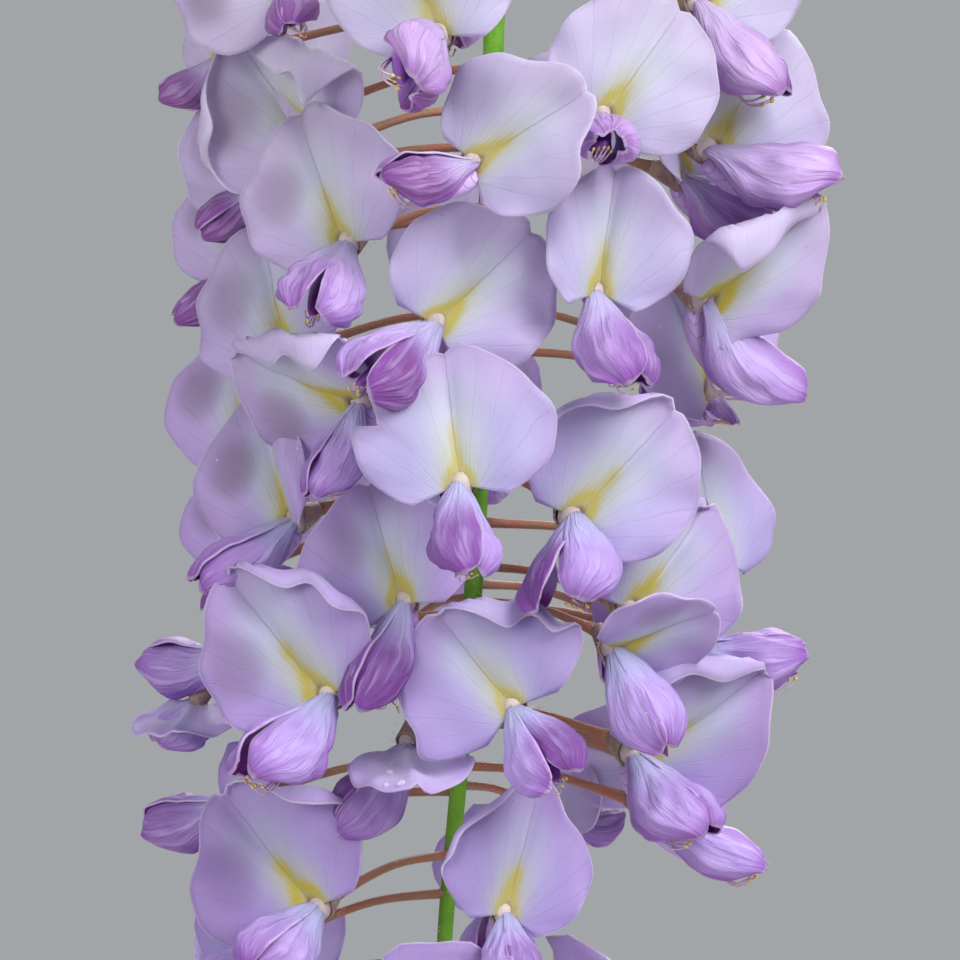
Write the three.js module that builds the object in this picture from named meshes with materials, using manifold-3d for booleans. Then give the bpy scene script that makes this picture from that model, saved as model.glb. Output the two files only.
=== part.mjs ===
// A wisteria in a plain clay pot: two woody stems that twine into three arching arms, feathered leaves and
// hanging racemes of pea-like blooms. Each bloom has a banner petal and a pair of wing petals in a small
// calyx, on a slender stalk that springs from the raceme's hanging stem. Buds close each raceme's tip.
// Millimetres, +Z up, -Y to the front, origin at the centre of the pot's underside.
import * as THREE from "three";
import { mergeVertices } from "three/addons/utils/BufferGeometryUtils.js";
import Module from "manifold-3d";

const wasm = await Module();
wasm.setup();

// ---------------------------------------------------------------- driving dimensions
const GAP = 0.3; // between nodes that touch

const POT = { topR: 100, baseR: 70, height: 170, wall: 7, floor: 9, rimH: 30, rimOut: 7, sides: 26 };
const DRAIN = { count: 4, r: 6, ring: 42 };
const SOIL = { top: 156, mound: 7, holeR: 20, holeDepth: 40 };

const BANNER = { halfWidth: 12.6, halfHeight: 10.4, centre: 7.4, notch: 0.07 };
const WING = { length: 16, radius: 4.8, sweep: 58, middle: 66, upturn: 2.4 };
const CALYX = { length: 4.6, mouthR: 2.8, footR: 1.1 };
const BUD = { length: 10.5, r: 2.5 };
const STALK_R = 0.75;
const BLADE = 0.62; // petal and leaflet thickness

// ---------------------------------------------------------------- materials
const finish = (color, roughness) => new THREE.MeshStandardMaterial({ color, roughness, metalness: 0 });
const CLAY = finish(0xb5694a, 0.85);
const EARTH = finish(0x3b2a20, 0.98);
const BARK = finish(0x84705c, 0.92);
const LILAC = finish(0xcdb9e6, 0.6);
const LEAF = finish(0x7c9c3f, 0.55);

// ---------------------------------------------------------------- small tools
const rad = THREE.MathUtils.degToRad;
const clamp = THREE.MathUtils.clamp;
const vec = (x, y, z) => new THREE.Vector3(x, y, z);
const mix = THREE.MathUtils.lerp;

// The same run of numbers from 0 to 1 for the same seed.
function seeded(seed) {
  let state = seed;
  return () => (state = (state * 16807) % 2147483647) / 2147483647;
}

function toSolid(geometry) {
  geometry.deleteAttribute("normal");
  geometry.deleteAttribute("uv");
  const merged = mergeVertices(geometry, 1e-4);
  return new wasm.Manifold(
    new wasm.Mesh({
      numProp: 3,
      vertProperties: new Float32Array(merged.attributes.position.array),
      triVerts: new Uint32Array(merged.index.array),
    }),
  );
}

const place = (solid, matrix) => solid.transform(matrix.elements);
const fuse = (solids) => solids.reduce((joined, next) => joined.add(next));

function toMesh(name, solid, material) {
  const { vertProperties, triVerts } = solid.getMesh();
  const geometry = new THREE.BufferGeometry();
  geometry.setAttribute("position", new THREE.BufferAttribute(vertProperties, 3));
  geometry.setIndex(new THREE.BufferAttribute(triVerts, 1));
  geometry.computeVertexNormals();
  const mesh = new THREE.Mesh(geometry, material);
  mesh.name = name;
  return mesh;
}

const lathe = (profile, sides) =>
  toSolid(
    new THREE.LatheGeometry(
      profile.map(([r, z]) => new THREE.Vector2(r, z)),
      sides,
    ).rotateX(Math.PI / 2),
  );

const smoothPath = (points) =>
  new THREE.CatmullRomCurve3(points.map((p) => vec(...p)), false, "catmullrom", 0.5);

// A cylinder laid along a path, its radius given at each share of the way.
function tube(path, radiusAt, sides, steps) {
  const geometry = new THREE.CylinderGeometry(1, 1, 1, sides, steps);
  const { normals, binormals } = path.computeFrenetFrames(steps, false);
  const position = geometry.attributes.position;
  for (let i = 0; i < position.count; i++) {
    const step = Math.round((0.5 - position.getY(i)) * steps);
    const along = step / steps;
    const r = radiusAt(along);
    const point = path
      .getPoint(along)
      .addScaledVector(normals[step], position.getX(i) * r)
      .addScaledVector(binormals[step], position.getZ(i) * r);
    position.setXYZ(i, ...point);
  }
  return toSolid(geometry);
}

// A thin blade: a flat cylinder whose rim is pulled to the given points and whose middle to centre.
function blade(rim, centre, thickness) {
  const count = rim.length;
  const crossAt = (k) => {
    const from = rim[k % count].clone().sub(centre);
    return from.cross(rim[(k + 1) % count].clone().sub(centre));
  };
  const facets = rim.map((_, k) => crossAt(k));
  const rimNormals = rim.map((_, k) =>
    facets[k].clone().add(facets[(k + count - 1) % count]).normalize(),
  );
  const centreNormal = facets.reduce((sum, f) => sum.add(f), vec(0, 0, 0)).normalize();
  const geometry = new THREE.CylinderGeometry(1, 1, 1, count, 1);
  const position = geometry.attributes.position;
  for (let i = 0; i < position.count; i++) {
    const x = position.getX(i);
    const z = position.getZ(i);
    const half = position.getY(i) * thickness;
    const atRim = Math.hypot(x, z) > 0.5;
    const k = (Math.round((Math.atan2(x, z) / (2 * Math.PI)) * count) + count) % count;
    const middle = atRim ? rim[k] : centre;
    const normal = atRim ? rimNormals[k] : centreNormal;
    position.setXYZ(i, ...middle.clone().addScaledVector(normal, half));
  }
  return toSolid(geometry);
}

// ---------------------------------------------------------------- pot and soil
function makePot() {
  const { topR, baseR, height, wall, floor, rimH, rimOut, sides } = POT;
  const rimZ = height - rimH;
  const rAt = (z) => mix(baseR, topR - rimOut, z / rimZ);
  let pot = lathe(
    [
      [0, 0],
      [baseR - 3, 0],
      [baseR, 3],
      [rAt(rimZ - 3), rimZ - 3],
      [topR - 2, rimZ],
      [topR, rimZ + 3],
      [topR, height - 4],
      [topR - 3, height],
      [topR - wall, height - 1.5],
      [rAt(rimZ) - wall, rimZ - 6],
      [baseR - wall, floor],
      [0, floor],
    ],
    sides,
  );
  for (let i = 0; i < DRAIN.count; i++) {
    const turn = ((i + 0.5) / DRAIN.count) * 2 * Math.PI;
    const hole = new THREE.CylinderGeometry(DRAIN.r, DRAIN.r, floor * 3, 8).rotateX(Math.PI / 2);
    pot = pot.subtract(
      toSolid(hole.translate(DRAIN.ring * Math.cos(turn), DRAIN.ring * Math.sin(turn), 0)),
    );
  }
  return pot;
}

function makeSoil() {
  const { topR, baseR, height, wall, floor, rimH, rimOut } = POT;
  const rimZ = height - rimH;
  const shoulderR = mix(baseR, topR - rimOut, 1) - wall;
  const shoulderZ = rimZ - 6;
  const topEdgeR = mix(shoulderR, topR - wall, (SOIL.top - shoulderZ) / (height - 1.5 - shoulderZ));
  const pitZ = SOIL.top + SOIL.mound - SOIL.holeDepth;
  const clear = GAP * 1.1;
  return lathe(
    [
      [0, floor + GAP],
      [baseR - wall - clear, floor + GAP],
      [shoulderR - clear, shoulderZ],
      [topEdgeR - clear, SOIL.top],
      [topEdgeR * 0.55, SOIL.top + SOIL.mound * 0.7],
      [SOIL.holeR, SOIL.top + SOIL.mound],
      [SOIL.holeR, pitZ],
      [0, pitZ],
    ],
    POT.sides,
  );
}

// ---------------------------------------------------------------- vine
// Each limb is a path and its radius at the start, halfway and at the tip.
const LIMBS = {
  trunk: {
    path: [
      [0, 0, 124], [0, 0, 172], [-4, 3, 215], [12, -7, 280], [-12, 6, 350],
      [-16, 12, 425], [4, -4, 500], [-4, 0, 572],
    ],
    radii: [16, 12.5, 9],
    sides: 8,
    steps: 14,
  },
  twiner: {
    path: [
      [4, -2, 168], [16, 4, 196], [4, 17, 254], [-14, -8, 322],
      [4, -4, 392], [-16, 26, 456], [12, 8, 528], [0, 2, 582],
    ],
    radii: [8.5, 7, 5],
    sides: 7,
    steps: 14,
  },
  rightArm: {
    path: [
      [-4, 0, 562], [26, -14, 614], [84, -26, 646], [132, -30, 651],
      [150, -30, 645], [153.6, -30, 636], [153.6, -30, 626.4],
    ],
    radii: [7.5, 5, 2.6],
    sides: 6,
    steps: 12,
  },
  leftArm: {
    path: [[-2, 0, 556], [-36, 8, 590], [-92, 10, 614], [-126, 4, 609], [-138, 2, 599], [-138, 2, 588.4]],
    radii: [7, 4.5, 2.4],
    sides: 6,
    steps: 9,
  },
  backArm: {
    path: [[0, 2, 560], [-4, 40, 610], [2, 92, 634], [9, 122, 624], [12, 132, 613], [12, 132, 602.4]],
    radii: [7, 4.5, 2.4],
    sides: 6,
    steps: 9,
  },
};

const limbRadius = ([start, middle, tip]) => (along) =>
  along < 0.5 ? mix(start, middle, along * 2) : mix(middle, tip, along * 2 - 1);

const makeVine = () =>
  fuse(
    Object.values(LIMBS).map(({ path, radii, sides, steps }) =>
      tube(smoothPath(path), limbRadius(radii), sides, steps),
    ),
  );

// ---------------------------------------------------------------- blooms
// A bloom's own frame has +x to its side, -y the way it faces and +z up its banner.

// Banner: an oval spread from its foot. Share is the way from foot to rim, turn the angle round the oval.
function bannerPoint(share, turn, bloom) {
  const angle = rad(turn);
  const tip = 1 - BANNER.notch * Math.exp(-((turn / 9) ** 2));
  const across = share * BANNER.halfWidth * Math.sin(angle);
  const up = share * (BANNER.centre + BANNER.halfHeight * Math.cos(angle)) * tip;
  const side = clamp(Math.abs(turn) / 70, 0, 1);
  const curl = turn < 0 ? bloom.curlLeft : bloom.curlRight;
  const back =
    -bloom.cup * Math.abs(across) * (1 - 0.35 * share) +
    0.014 * up * up * bloom.reflex +
    curl * 5 * side * share ** 6;
  const pulled = 1 - 0.22 * curl * side * share ** 6;
  return vec(across * pulled, back + 0.3, up * pulled + 0.4);
}

// Wing: half a barrel about the keel. Along runs from claw to tip, around from the top edge to the lower.
function wingPoint(along, around, hand, bloom) {
  const radius = WING.radius * (0.16 + 1.25 * along ** 0.8 * (1 - 0.5 * along));
  const reach = WING.sweep * Math.sqrt(Math.max(0, 1 - along ** 5));
  const turn = rad(WING.middle + bloom.gape * along + around * reach);
  const up = radius * Math.cos(turn) + WING.upturn * along * along - 0.4;
  return vec(hand * (0.2 + radius * Math.sin(turn)), 0.9 - (WING.length + 0.9) * along, up);
}

// Rims as turns round the banner, and as places along and around a wing.
const RIMS = {
  fine: { banner: [0, 36, 82, 134], wing: [[0.35, 0.9], [0.66, 1], [0.93, 0.6]] },
  plain: { banner: [0, 50, 118], wing: [[0.45, 0.9], [0.88, 0.6]] },
};

// The two wings touch along their top edges, so they make one folded blade with its crease above the keel.
function makeWings(bloom) {
  const side = (hand) =>
    RIMS[bloom.detail].wing.map(([along, around]) => wingPoint(along, around, hand, bloom));
  const rim = [vec(0, 0.9, -0.8), ...side(-1), wingPoint(1, 0, 0, bloom), ...side(1).reverse()];
  return blade(rim, vec(0, -WING.length * 0.55, WING.radius * 0.9), BLADE);
}

function makePetals(bloom) {
  const half = RIMS[bloom.detail].banner;
  const turns = [...half.slice(1).map((turn) => -turn).reverse(), ...half];
  const banner = blade(
    [...turns.map((turn) => bannerPoint(1, turn, bloom)), bannerPoint(0, 0, bloom)],
    bannerPoint(0.5, 0, bloom),
    BLADE,
  );
  const hung = new THREE.Matrix4()
    .makeRotationY(rad(bloom.hang))
    .multiply(new THREE.Matrix4().makeRotationX(rad(bloom.droop)));
  const rolled = new THREE.Matrix4().makeRotationY(rad(bloom.roll));
  const petals = place(banner, rolled).add(place(makeWings(bloom), hung));
  return place(petals, bloomFrame(bloom));
}

// Where a bloom's foot stands in the raceme, the way it faces and its size.
function bloomFrame({ foot, nod, heading, size }) {
  return new THREE.Matrix4()
    .makeRotationFromEuler(new THREE.Euler(rad(nod), 0, rad(heading), "ZXY"))
    .setPosition(...foot)
    .scale(vec(size, size, size));
}

// The stalk leaves the stem a little above the bloom, sags and widens into the calyx round the foot.
function makeStalk(bloom, stemPath) {
  const foot = vec(...bloom.foot);
  const root = stemAt(stemPath, foot.z + bloom.rise);
  const facing = vec(0, -1, 0).transformDirection(bloomFrame(bloom));
  const axis = foot.clone().sub(root).normalize().add(facing.multiplyScalar(0.55)).add(vec(0, 0, -0.35));
  axis.normalize();
  const cupBase = foot.clone().addScaledVector(axis, -CALYX.length * bloom.size);
  const mouth = foot.clone().addScaledVector(axis, 0.9);
  const bend = root.clone().lerp(cupBase, 0.5).add(vec(0, 0, bloom.rise * 0.2));
  const fine = bloom.detail === "fine";
  const stations = fine ? [root, bend, cupBase, mouth] : [root, cupBase, mouth];
  const radii = [STALK_R, STALK_R, CALYX.footR, CALYX.mouthR * bloom.size].slice(-stations.length);
  return tube(
    new THREE.CatmullRomCurve3(stations, false, "catmullrom", 0.5),
    (along) => radii[Math.round(along * (radii.length - 1))],
    fine ? 4 : 3,
    stations.length - 1,
  );
}

// A bud is a plump drop on the end of its stalk.
function makeBud(bud, stemPath) {
  const foot = vec(...bud.foot);
  const root = stemAt(stemPath, foot.z + bud.rise);
  const facing = vec(0, -1, 0).transformDirection(bloomFrame(bud));
  const stations = [0, 0, 0.45, 1].map((share) =>
    foot.clone().addScaledVector(facing, share * BUD.length * bud.size),
  );
  stations[0] = root;
  const radii = [STALK_R, STALK_R * 1.2, BUD.r * bud.size, 0.4];
  return tube(
    new THREE.CatmullRomCurve3(stations, false, "catmullrom", 0.5),
    (along) => radii[Math.round(along * (radii.length - 1))],
    3,
    radii.length - 1,
  );
}

// The stem's point at a height.
function stemAt(path, z) {
  let [low, high] = [0, 1];
  for (let i = 0; i < 30; i++) {
    const middle = (low + high) / 2;
    if (path.getPoint(middle).z > z) low = middle;
    else high = middle;
  }
  return path.getPoint(low);
}

// ---------------------------------------------------------------- racemes
// Blooms set by hand on the main raceme, as seen from the front. Across, front and down place the foot;
// heading turns the face to the right and nod tips it down; roll leans the banner to the right, hang swings
// the wings to the left and a droop of 90 points them down; each curl rolls that margin back.
const SET_BLOOMS = [
  // across, front, down, heading, nod, roll, hang, droop, size, curlLeft, curlRight
  [-5.4, 26, 39.1, 0, 0, -15, 22, 45, 1.04, 0.2, 0.2],
  [-25.7, 10, 32.8, -20, 0, -70, -10, 60, 1.02, 0.2, 0.4],
  [29.3, 8, 33.4, 40, 0, 20, -37, 70, 1.02, 0.2, 0.2],
  [17.9, 22, 50.4, 4, 0, 35, 10, 14, 1.06, 0.1, 0.5],
  [30.7, 6, 52.4, 35, 0, 40, -73, 75, 1.04, 0.5, 0.1],
  [27.2, 0, 58.7, 60, 0, 10, -40, 66, 0.96, 0.2, 0.2],
  [0, 28, 55.3, 4, 0, 60, 84, 60, 1.05, 0.1, 0.3],
  [-19, 14, 50.2, -10, 10, -48, -5, 60, 0.98, 0.7, 1.0],
  [-31, 8, 56.2, -50, 0, -30, 40, 62, 0.96, 0.3, 0.5],
  [-35.5, -4, 39.7, -80, 0, -20, 70, 66, 0.94, 0.2, 0.2],
  [-17.6, 20, 65.9, -8, 0, -18, 20, 50, 0.96, 0, 0.5],
  [14.3, 24, 72.3, 12, 0, 5, -36, 55, 0.93, 0.9, 0],
  [30.6, 8, 72.3, 35, 30, 50, -51, 75, 1.0, 0.9, 0.2],
  [-4.5, 27, 75.2, 2, 0, 48, 43, 68, 1.0, 0.1, 0.2],
  [-28.7, 8, 78.2, -35, 0, -22, 15, 60, 0.98, 0.1, 0.2],
  [28.3, -8, 84.6, 50, 0, -20, -30, 60, 0.95, 0.2, 0.2],
  [-15.8, 22, 86.3, -12, 0, -74, 18, 66, 0.96, 0, 1.0],
  [-35.3, -2, 88, -70, 0, -10, 30, 60, 0.95, 0.2, 0.2],
  [-2.3, 28, 96.4, 0, 0, -8, 0, 50, 1.08, 0, 0.2],
  [13.9, 24, 100.8, 5, 0, 34, 4, 58, 1.04, 0.7, 0.1],
  [-24.7, 14, 101.6, -25, 0, -28, 58, 75, 0.96, 0, 0.9],
  [32.5, -6, 106.8, 62, 0, 10, -30, 66, 1.02, 0.1, 0.2],
  [-32.7, 0, 106.7, -70, 0, -14, 40, 60, 0.95, 0.2, 0.2],
  [-9.7, 26, 112.2, -2, 0, -21, 17, 66, 1.05, 0, 0.6],
  [17.9, 20, 117.8, 25, 0, 32, -38, 66, 0.98, 0.9, 0.1],
  [28.6, 2, 115.9, 62, 0, -10, -75, 82, 1.0, 0.4, 0.4],
  [-32.5, 4, 121, -60, 0, -10, 85, 66, 0.96, 0.2, 0.2],
  [-20.2, 20, 123.2, -6, 0, -35, 55, 62, 0.97, 0, 0.8],
  [2.7, 27, 123.9, 8, 0, -40, -15, 48, 0.95, 0, 1.0],
  [-33, 0, 131, -75, 0, 10, 30, 50, 0.92, 0.7, 0.7],
  [22.6, 12, 134.3, 30, 16, 50, -48, 74, 0.98, 0.8, 0.2],
  [8.8, -14, 136.1, 130, 0, 10, -40, 66, 0.92, 0.2, 0.2],
  [-32.9, 4, 143.1, -60, 0, 10, 75, 66, 0.9, 0.3, 0.3],
  [-16.7, 14, 144.4, -20, -24, 45, 10, 18, 0.88, 0.9, 1.0],
  [-19.2, 21, 150.3, -6, 0, -41, 35, 60, 0.93, 0, 0.9],
  [2.7, 25, 151.2, 2, 0, 17, -12, 60, 0.92, 0.8, 0.1],
  [-28.3, 8, 159.8, -40, 0, -30, 30, 60, 0.9, 0.2, 0.2],
  [21, 8, 160.5, 40, 0, 20, -30, 60, 0.86, 0.3, 0.3],
];

const MAIN = {
  seed: 7,
  top: [153.6, -30, 626],
  stem: [
    [153.6, -30, 626], [153, -30, 600], [151.9, -30, 577], [149.9, -30, 516],
    [147.5, -30, 480], [145.3, -30, 455], [144, -30, 425], [144.6, -30, 392],
  ],
  stemR: [1.7, 0.8],
  set: { x: 150, y: -30, z: 612, from: 30, to: 160 },
  open: { from: 10, to: 190, step: 4.6, reach: 29 },
  buds: { from: 188, to: 219, step: 2.8, reach: 17 },
  detail: "fine",
};

const SIDE = {
  left: {
    seed: 23,
    top: [-138, 2, 588],
    stem: [[-138, 2, 588], [-139, 2, 560], [-138, 3, 500], [-137, 2, 440]],
    stemR: [1.5, 0.8],
    open: { from: 16, to: 94, step: 6.8, reach: 25 },
    buds: { from: 98, to: 146, step: 5.6, reach: 13 },
    detail: "plain",
  },
  back: {
    seed: 41,
    top: [12, 132, 602],
    stem: [[12, 132, 602], [12, 133, 570], [11, 134, 510], [12, 133, 448]],
    stemR: [1.5, 0.8],
    open: { from: 16, to: 94, step: 6.8, reach: 25 },
    buds: { from: 98, to: 150, step: 5.6, reach: 13 },
    detail: "plain",
  },
};

const GOLDEN = 137.5;

// The blooms that follow each other up the stem's spiral, past the ones set by hand.
function spiralBlooms(raceme, stemPath) {
  const random = seeded(raceme.seed);
  const blooms = [];
  const { from, to, step, reach } = raceme.open;
  const last = Math.floor((to - from) / step);
  for (let i = 0; i <= last; i++) {
    const down = from + i * step;
    const turn = ((i * GOLDEN + 40) % 360) - 180;
    const shake = [random(), random(), random(), random(), random()];
    const shut = clamp((down - to + 30) / 60, 0, 1);
    const z = raceme.top[2] - 14 - down;
    const stem = stemAt(stemPath, z);
    const out = reach * (1 - 0.35 * shut) * (0.92 + 0.16 * shake[0]);
    const inSet = raceme.set && down > raceme.set.from - 4 && down < raceme.set.to + 4;
    if (inSet && Math.abs(turn) < 108) continue;
    blooms.push({
      foot: [stem.x + out * Math.sin(rad(turn)), stem.y - out * Math.cos(rad(turn)), z],
      heading: turn + (shake[1] - 0.5) * 30,
      nod: 4,
      roll: (shake[2] - 0.5) * 80,
      hang: (shake[3] - 0.5) * 50,
      droop: 56,
      size: (raceme.detail === "fine" ? 0.98 : 0.86) * (1 - 0.3 * shut),
      cup: 0.12 + 0.5 * shut,
      reflex: 1 - shut,
      gape: 14,
      curlLeft: shake[4] * 0.6,
      curlRight: (1 - shake[4]) * 0.6,
      rise: 6,
      detail: "plain",
    });
  }
  return blooms;
}

function setBlooms(raceme) {
  return SET_BLOOMS.map(([across, front, down, ...turns]) => {
    const [heading, nod, roll, hang, droop, size, curlLeft, curlRight] = turns;
    return {
      foot: [raceme.set.x + across, raceme.set.y - front, raceme.set.z - down],
      heading, nod, roll, hang, droop, size, curlLeft, curlRight,
      cup: 0.16,
      reflex: 1,
      gape: 12,
      rise: 6,
      detail: front > 11 ? "fine" : "plain",
    };
  });
}

function spiralBuds(raceme, stemPath) {
  const random = seeded(raceme.seed + 1);
  const { from, to, step, reach } = raceme.buds;
  return Array.from({ length: Math.floor((to - from) / step) + 1 }, (_, i) => {
    const share = (i * step) / (to - from);
    const turn = i * GOLDEN;
    const z = raceme.top[2] - 14 - from - i * step;
    const stem = stemAt(stemPath, z);
    const out = reach * (1 - 0.72 * share);
    return {
      foot: [stem.x + out * Math.sin(rad(turn)), stem.y - out * Math.cos(rad(turn)), z],
      heading: turn,
      nod: 38 + 30 * share + random() * 10,
      size: 1 - 0.55 * share,
      rise: 4,
    };
  });
}

function makeRaceme(raceme) {
  const stemPath = smoothPath(raceme.stem);
  const blooms = [...(raceme.set ? setBlooms(raceme) : []), ...spiralBlooms(raceme, stemPath)];
  const parts = [tube(stemPath, (along) => mix(...raceme.stemR, along), 5, 12)];
  for (const bloom of blooms) parts.push(makeStalk(bloom, stemPath), makePetals(bloom));
  for (const bud of spiralBuds(raceme, stemPath)) parts.push(makeBud(bud, stemPath));
  return fuse(parts);
}

// ---------------------------------------------------------------- leaves
// Each leaf starts on an arm: where along it, the way it points, how far it climbs, its length and pairs.
const LEAVES = [
  { arm: "rightArm", along: 0.34, heading: 150, climb: 48, length: 128, pairs: 4 },
  { arm: "rightArm", along: 0.62, heading: 30, climb: 60, length: 120, pairs: 4 },
  { arm: "rightArm", along: 0.84, heading: 100, climb: 34, length: 118, pairs: 4 },
  { arm: "leftArm", along: 0.4, heading: -30, climb: 56, length: 120, pairs: 4 },
  { arm: "leftArm", along: 0.68, heading: 210, climb: 50, length: 116, pairs: 4 },
  { arm: "leftArm", along: 0.88, heading: -88, climb: 30, length: 112, pairs: 4 },
  { arm: "backArm", along: 0.45, heading: -120, climb: 58, length: 118, pairs: 4 },
  { arm: "backArm", along: 0.82, heading: 165, climb: 36, length: 112, pairs: 4 },
];
const LEAFLET = { length: 40, halfWidth: 8.2, thickness: 0.8 };
const RIB_R = 1; // half the rib's width

// The leaf's rib: out from the arm, up and then over.
function ribPath({ arm, along, heading, climb, length }) {
  const limb = LIMBS[arm];
  const out = vec(Math.sin(rad(heading)), -Math.cos(rad(heading)), 0);
  const rise = out.clone().multiplyScalar(Math.cos(rad(climb))).setZ(Math.sin(rad(climb)));
  const root = smoothPath(limb.path)
    .getPoint(along)
    .addScaledVector(rise, limbRadius(limb.radii)(along) + GAP);
  const shoulder = root.clone().addScaledVector(rise, length * 0.55);
  const tip = shoulder.clone().addScaledVector(out, length * 0.5).add(vec(0, 0, -length * 0.12));
  return new THREE.QuadraticBezierCurve3(root, shoulder, tip);
}

// One side of the flat leaf, from its foot to its end leaflet: x runs along the rib, y out from it.
function leafSide({ length, pairs }) {
  const points = [[0, RIB_R]];
  for (let i = 0; i < pairs; i++) {
    const station = length * mix(0.34, 0.84, i / (pairs - 1));
    const size = 0.74 + 0.26 * Math.sin(Math.PI * mix(0.15, 0.85, i / (pairs - 1)));
    const lean = rad(58);
    const leaflet = [[0.02, -0.1], [0.36, -1], [1, 0], [0.4, 1], [0.02, 0.1]];
    for (const [forward, across] of leaflet) {
      const f = forward * LEAFLET.length * size;
      const a = across * LEAFLET.halfWidth * size;
      points.push([
        station + f * Math.cos(lean) + a * Math.sin(lean),
        RIB_R + f * Math.sin(lean) - a * Math.cos(lean),
      ]);
    }
  }
  return points;
}

function makeLeaf(leaf) {
  const side = leafSide(leaf);
  const { length } = leaf;
  const end = [[length * 0.97, RIB_R], [length + 9, 7.6], [length + 24, 7]];
  const half = [...side, ...end];
  const outline = [...half, [length + 40, 0], ...half.map(([x, y]) => [x, -y]).reverse()];
  const flat = new THREE.ExtrudeGeometry(
    new THREE.Shape(outline.map(([x, y]) => new THREE.Vector2(x, y))),
    { depth: LEAFLET.thickness, bevelEnabled: false },
  );
  const rib = ribPath(leaf);
  const position = flat.attributes.position;
  for (let i = 0; i < position.count; i++) {
    const along = position.getX(i) / (length + 40);
    const ahead = rib.getTangent(along);
    const across = ahead.clone().cross(vec(0, 0, 1)).normalize();
    const up = across.clone().cross(ahead);
    const y = position.getY(i);
    const point = rib
      .getPoint(along)
      .addScaledVector(across, -y)
      .addScaledVector(up, position.getZ(i) - (y * y) / 130);
    position.setXYZ(i, ...point);
  }
  return toSolid(flat);
}

// ---------------------------------------------------------------- the plant
const plant = new THREE.Group();
plant.add(toMesh("pot", makePot(), CLAY));
plant.add(toMesh("soil", makeSoil(), EARTH));
plant.add(toMesh("vine", makeVine(), BARK));
plant.add(toMesh("raceme_main", makeRaceme(MAIN), LILAC));
for (const [side, raceme] of Object.entries(SIDE)) {
  plant.add(toMesh(`raceme_${side}`, makeRaceme(raceme), LILAC));
}
LEAVES.forEach((leaf, i) => plant.add(toMesh(`leaf_${i + 1}`, makeLeaf(leaf), LEAF)));

export default plant;
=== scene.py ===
import math

import bmesh
import bpy
from mathutils import Matrix, Vector, noise


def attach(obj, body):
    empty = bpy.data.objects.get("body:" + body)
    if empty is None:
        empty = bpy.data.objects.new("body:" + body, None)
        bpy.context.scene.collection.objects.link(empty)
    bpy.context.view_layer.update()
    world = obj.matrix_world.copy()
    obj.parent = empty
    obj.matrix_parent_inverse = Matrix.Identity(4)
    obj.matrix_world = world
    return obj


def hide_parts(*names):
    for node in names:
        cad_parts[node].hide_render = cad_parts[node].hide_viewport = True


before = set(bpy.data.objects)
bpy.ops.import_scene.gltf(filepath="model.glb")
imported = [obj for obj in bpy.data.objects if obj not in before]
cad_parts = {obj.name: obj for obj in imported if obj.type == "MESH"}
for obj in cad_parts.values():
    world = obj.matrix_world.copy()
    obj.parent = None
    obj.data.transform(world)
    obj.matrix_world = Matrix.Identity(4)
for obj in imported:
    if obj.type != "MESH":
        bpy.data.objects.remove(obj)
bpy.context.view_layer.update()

# All shapes below are in millimetres and are scaled to metres when a piece is finished.
mm = 0.001
rad = math.radians


def mix(a, b, share):
    return a + (b - a) * share


def clamp(value, low=0.0, high=1.0):
    return max(low, min(high, value))


def ease(low, high, value):
    share = clamp((value - low) / (high - low))
    return share * share * (3 - 2 * share)


# A rise of height 1 round a centre.
def bell(value, centre, width):
    return math.exp(-(((value - centre) / width) ** 2))


# The same run of numbers from 0 to 1 for the same seed.
def seeded(seed):
    state = seed

    def draw():
        nonlocal state
        state = state * 16807 % 2147483647
        return state / 2147483647

    return draw


# A point on a smooth path through points, at a share of its spans.
def pathPoint(points, share):
    spans = len(points) - 1
    place = clamp(share) * spans
    i = min(int(place), spans - 1)
    t = place - i
    here, there = Vector(points[i]), Vector(points[i + 1])
    before = Vector(points[i - 1]) if i > 0 else here * 2 - there
    after = Vector(points[i + 2]) if i + 2 <= spans else there * 2 - here
    startPull, endPull = (there - before) / 2, (after - here) / 2
    return (
        here
        + startPull * t
        + (here * -3 + there * 3 - startPull * 2 - endPull) * t**2
        + (here * 2 - there * 2 + startPull + endPull) * t**3
    )


def pathRun(points, steps):
    return [pathPoint(points, i / steps) for i in range(steps + 1)]


# The faces or edges of some points, each once and always in the same order.
def joining(verts, kind):
    return list(dict.fromkeys(item for vert in verts for item in getattr(vert, kind)))


def newShape():
    bm = bmesh.new()
    bm.loops.layers.uv.new("flat")
    for layer in ("rim", "tint"):
        bm.verts.layers.float.new(layer)
    return bm


# Moves a grid to where spot puts each of its points, welds it where asked and gives it a thickness.
# spot takes two shares and gives the point, its flat place for the pattern and its nearness to the rim.
def addSheet(bm, columns, rows, spot, tint=0.5, thickness=0.0, weld=False, material=0, back=None):
    uvs = bm.loops.layers.uv["flat"]
    rims, tints = bm.verts.layers.float["rim"], bm.verts.layers.float["tint"]
    verts = bmesh.ops.create_grid(bm, x_segments=columns, y_segments=rows, size=0.5)["verts"]
    for vert in verts:
        place, flat, rim = spot(vert.co.x + 0.5, vert.co.y + 0.5)
        vert.co = place
        vert[rims] = rim
        vert[tints] = tint
        for loop in vert.link_loops:
            loop[uvs].uv = flat
    if weld:
        bmesh.ops.remove_doubles(bm, verts=verts, dist=1e-4)
        verts = [vert for vert in verts if vert.is_valid]
    faces = joining(verts, "link_faces")
    for face in faces:
        face.smooth = True
        face.material_index = material
        face.normal_update()
    for vert in verts:
        vert.normal_update()
    if thickness:
        grown = bmesh.ops.solidify(bm, geom=faces, thickness=thickness)["geom"]
        for item in grown:
            if isinstance(item, bmesh.types.BMFace):
                item.material_index = material if back is None else back
    return verts


# A spot's place moved with a frame.
def placed(place, spot):
    def moved(first, second):
        point, flat, rim = spot(first, second)
        return place @ point, flat, rim

    return moved


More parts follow.
